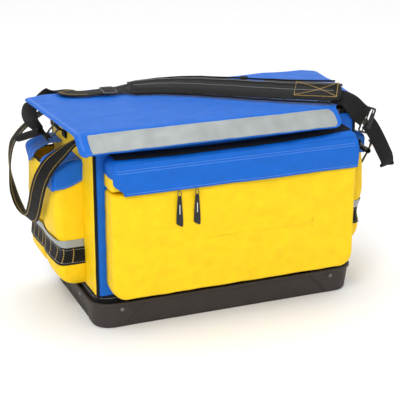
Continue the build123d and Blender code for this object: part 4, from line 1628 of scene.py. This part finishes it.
def shoulder_pad():
    """The strap's long padded sleeve, its bound edge, sewn channel, box-stitched end and keeper."""
    frames = resting_on_lid(strap_frames(PAD, 10))
    mesh = outward(grid_mesh("shoulder_pad", pad_section(frames), close_u=True))
    piece = add_object("shoulder_pad", mesh, "webbing", None)
    swell(piece, 4.0, 0.003, 0.004)
    finish = piece.modifiers.new("subdivision", "SUBSURF")
    finish.levels = 1
    finish.render_levels = 1
    piece.data.materials.clear()
    piece.data.materials.append(MATERIALS["pad"])
    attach(piece, "lid")
    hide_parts("strap_pad")
    for offset, name in ((-PAD_W / 2 + 0.0015, "front"), (PAD_W / 2 - 0.0015, "back")):
        line = [m + s * offset - n * 0.0018 for m, s, n in frames[3:-3]]
        cord = add_object(f"pad_binding_{name}", tube_mesh("pad_binding", line, 0.0024), "binding", "lid", levels=1)
    top = PAD_T / 2 + 0.0016
    seam_frames = frames[3:-3]
    strip = add_object("pad_centre_strip", strap_mesh("pad_centre_strip", [(m + s * 0.006 + n * (top + 0.0004), s, n) for m, s, n in frames[2:-2]],
                       0.024, 0.0014, crown=0.0002), "webbing", "lid", levels=1)
    lines = [frame_line(seam_frames, offset, top + 0.0014) for offset in (-0.0045, 0.0165)]
    stitches("pad_channel_stitching", lines, "grey", "lid")
    end = frames[-14:-2]
    lines = []
    lift = top + 0.0006
    for offset in (-0.022, 0.022):
        lines.append(frame_line(end, offset, lift - 0.0012))
    for m, s, n in (end[0], end[-1]):
        lines.append([(m + s * lerp(-0.022, 0.022, k / 10) + n * lift, n) for k in range(11)])
    cross = []
    for k in range(len(end)):
        m, s, n = end[k]
        cross.append((m + s * lerp(-0.022, 0.022, k / (len(end) - 1)) + n * (lift + 0.0006), n))
    lines.append(cross)
    cross = []
    for k in range(len(end)):
        m, s, n = end[k]
        cross.append((m + s * lerp(0.022, -0.022, k / (len(end) - 1)) + n * (lift + 0.0006), n))
    lines.append(cross)
    stitches("pad_end_box_stitch", lines, "gold", "lid", radius=0.0007)
    keeper_low, keeper_high = node_box("pad_keeper")
    a, b = [Vector(p) * MM for p in KEEPER]
    along = Vector((0.82, -0.57, 0)).normalized()
    lifted = Vector((0, 0, 0.0012))
    stations = [(tuple((a - Vector((0.006, 0.010, 0.006))) / MM), tuple(along))]
    stations += [(tuple((a.lerp(b, t) + lifted + Vector((0, 0, 0.0035 * math.sin(math.pi * t)))) / MM), tuple(along))
                 for t in (0.0, 0.33, 0.67, 1.0)]
    stations += [(tuple((b + Vector((0.005, 0.009, -0.005))) / MM), tuple(along))]
    loop_frames = strap_frames(stations, 5)
    keeper = add_object("pad_loop", strap_mesh("pad_loop", loop_frames, 0.018, 0.0024), "webbing", "lid", levels=1)
    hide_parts("pad_keeper")


def tri_glide():
    """A cast slide: a rounded frame with a middle bar."""
    low, high = node_box("tri_glide")
    centre = (low + high) / 2
    turn = Matrix.Rotation(math.radians(-4.5), 3, "Z")
    half_x = 0.0155
    half_y = 0.0285
    ring = rounded_rectangle(half_x, half_y, [0.005] * 4, (4, 8))
    lift = Vector((0, 0, 0.0004))
    frame_line_points = [centre + lift + turn @ Vector((p.x, p.y, 0)) for p in ring]
    bar = [centre + lift + turn @ Vector((0, y, 0)) for y in (-half_y, -half_y / 2, 0, half_y / 2, half_y)]
    meshes = [tube_mesh("slide_frame", frame_line_points, 0.0022, closed=True, sides=12), tube_mesh("slide_bar", bar, 0.0019, sides=12)]
    piece = add_object("strap_slide", joined("strap_slide", meshes), "metal", "tri_glide", levels=1)
    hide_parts("tri_glide")


def ladder_lock():
    """A moulded ladder lock: a rounded frame, two bars inside it and a lifted tab."""
    low, high = node_box("ladder_lock")
    centre = (low + high) / 2
    long_axis = Vector((0.34, 0, 0.94)).normalized()
    short_axis = Vector((0.94, 0, -0.34)).normalized()
    out = Vector((0, -1, 0))
    meshes = []
    half_long = 0.0300
    half_short = 0.0125
    ring = rounded_rectangle(half_short, half_long, [0.004] * 4, (4, 8))
    line = [centre + short_axis * p.x + long_axis * p.y for p in ring]
    meshes.append(tube_mesh("lock_frame", line, 0.0024, closed=True, sides=10))
    for place, radius in ((-0.003, 0.0018), (0.0055, 0.0018)):
        bar = [centre + short_axis * place + long_axis * (half_long * t) + out * 0.0008 for t in (-1, -0.5, 0, 0.5, 1)]
        meshes.append(tube_mesh("lock_bar", bar, radius, sides=10))
    tab = []
    for k in range(9):
        t = k / 8
        p = centre + short_axis * (half_short + 0.001 - 0.011 * (1 - t)) + out * (0.0022 + 0.0018 * math.sin(math.pi * t))
        tab.append((tuple(p / MM), tuple(long_axis)))
    frames = strap_frames(tab, 3)
    meshes.append(strap_mesh("lock_tab", frames, 0.040, 0.0024))
    piece = add_object("strap_lock", joined("strap_lock", meshes), "acetal", "lid", levels=1)
    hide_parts("ladder_lock")


# ---- set -------------------------------------------------------------------------------------------
def hidden_boards():
    """The stiffening boards keep their CAD shape and get a material."""
    for node in ("base_board", "lid_stiffener"):
        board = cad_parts[node]
        board.data.materials.clear()
        board.data.materials.append(MATERIALS["board"])


def studio():
    """A pale floor, a white surround, soft lights and the camera."""
    floor = Shader("studio_floor", (0.93, 0.93, 0.93), 0.85)
    floor.vary_colour(floor.noise(1.5, 2.0), 0.995, 1.0)
    rows = [[Vector((x, y, 0)) for x in (-14, -4, 0, 4, 14)] for y in (-14, -4, 0, 4, 14)]
    mesh = grid_mesh("floor", rows)
    mesh.materials.append(floor.material)
    ground = bpy.data.objects.new("floor", mesh)
    bpy.context.scene.collection.objects.link(ground)
    world = bpy.data.worlds.new("white_room")
    world.use_nodes = True
    world.node_tree.nodes["Background"].inputs["Color"].default_value = (1, 1, 1, 1)
    world.node_tree.nodes["Background"].inputs["Strength"].default_value = 1.0
    bpy.context.scene.world = world
    lights = [("key", (-1.6, -2.2, 2.6), 1.0, 40), ("fill", (2.4, -1.6, 1.8), 1.8, 4), ("top", (0.2, 0.6, 2.8), 1.6, 14)]
    for name, place, size, power in lights:
        data = bpy.data.lights.new(name, "AREA")
        data.size = size
        data.energy = power
        lamp = bpy.data.objects.new(name, data)
        lamp.location = place
        lamp.rotation_euler = (TARGET - Vector(place)).to_track_quat("-Z", "Y").to_euler()
        bpy.context.scene.collection.objects.link(lamp)
    data = bpy.data.cameras.new("camera")
    data.lens = LENS_MM
    data.sensor_width = 36
    data.shift_x, data.shift_y = SHIFT
    camera = bpy.data.objects.new("camera", data)
    azimuth = math.radians(VIEW_AZIMUTH)
    elevation = math.radians(VIEW_ELEVATION)
    away = Vector((math.sin(azimuth) * math.cos(elevation), -math.cos(azimuth) * math.cos(elevation), math.sin(elevation)))
    camera.location = TARGET + away * VIEW_DISTANCE
    camera.rotation_euler = (-away).to_track_quat("-Z", "Y").to_euler()
    bpy.context.scene.collection.objects.link(camera)
    bpy.context.scene.camera = camera
    bpy.context.scene.view_settings.view_transform = "Standard"


MATERIALS["pad"] = coated_fabric("pad_cloth", (0.004, 0.0037, 0.0035), 0.02, 0.002)

base_tray()
tray_rivets()
base_skirt()
body_walls()
body_piping()
main_zip()
slider("mouth_slider", "main_zip_slider", "main_slider")
pull("mouth_pull", "main_zip_pull", "main_pull")
front_pocket()
front_flap()
for side in SIDES:
    slider(f"pocket_slider_{side}", f"front_zip_slider_{side}", f"front_slider_{side}")
    pull(f"pocket_pull_{side}", f"front_zip_pull_{side}", f"front_pull_{side}")
    for place in ("front", "rear"):
        side_pocket(side, place)
        side_flap(side, place)
    side_bands(side)
    carry_handle(side)
    d_ring(side)
handle_anchors()
lid_cover()
lid_tape()
shoulder_pad()
shoulder_strap()
strap_roll()
tri_glide()
ladder_lock()
hidden_boards()
studio()
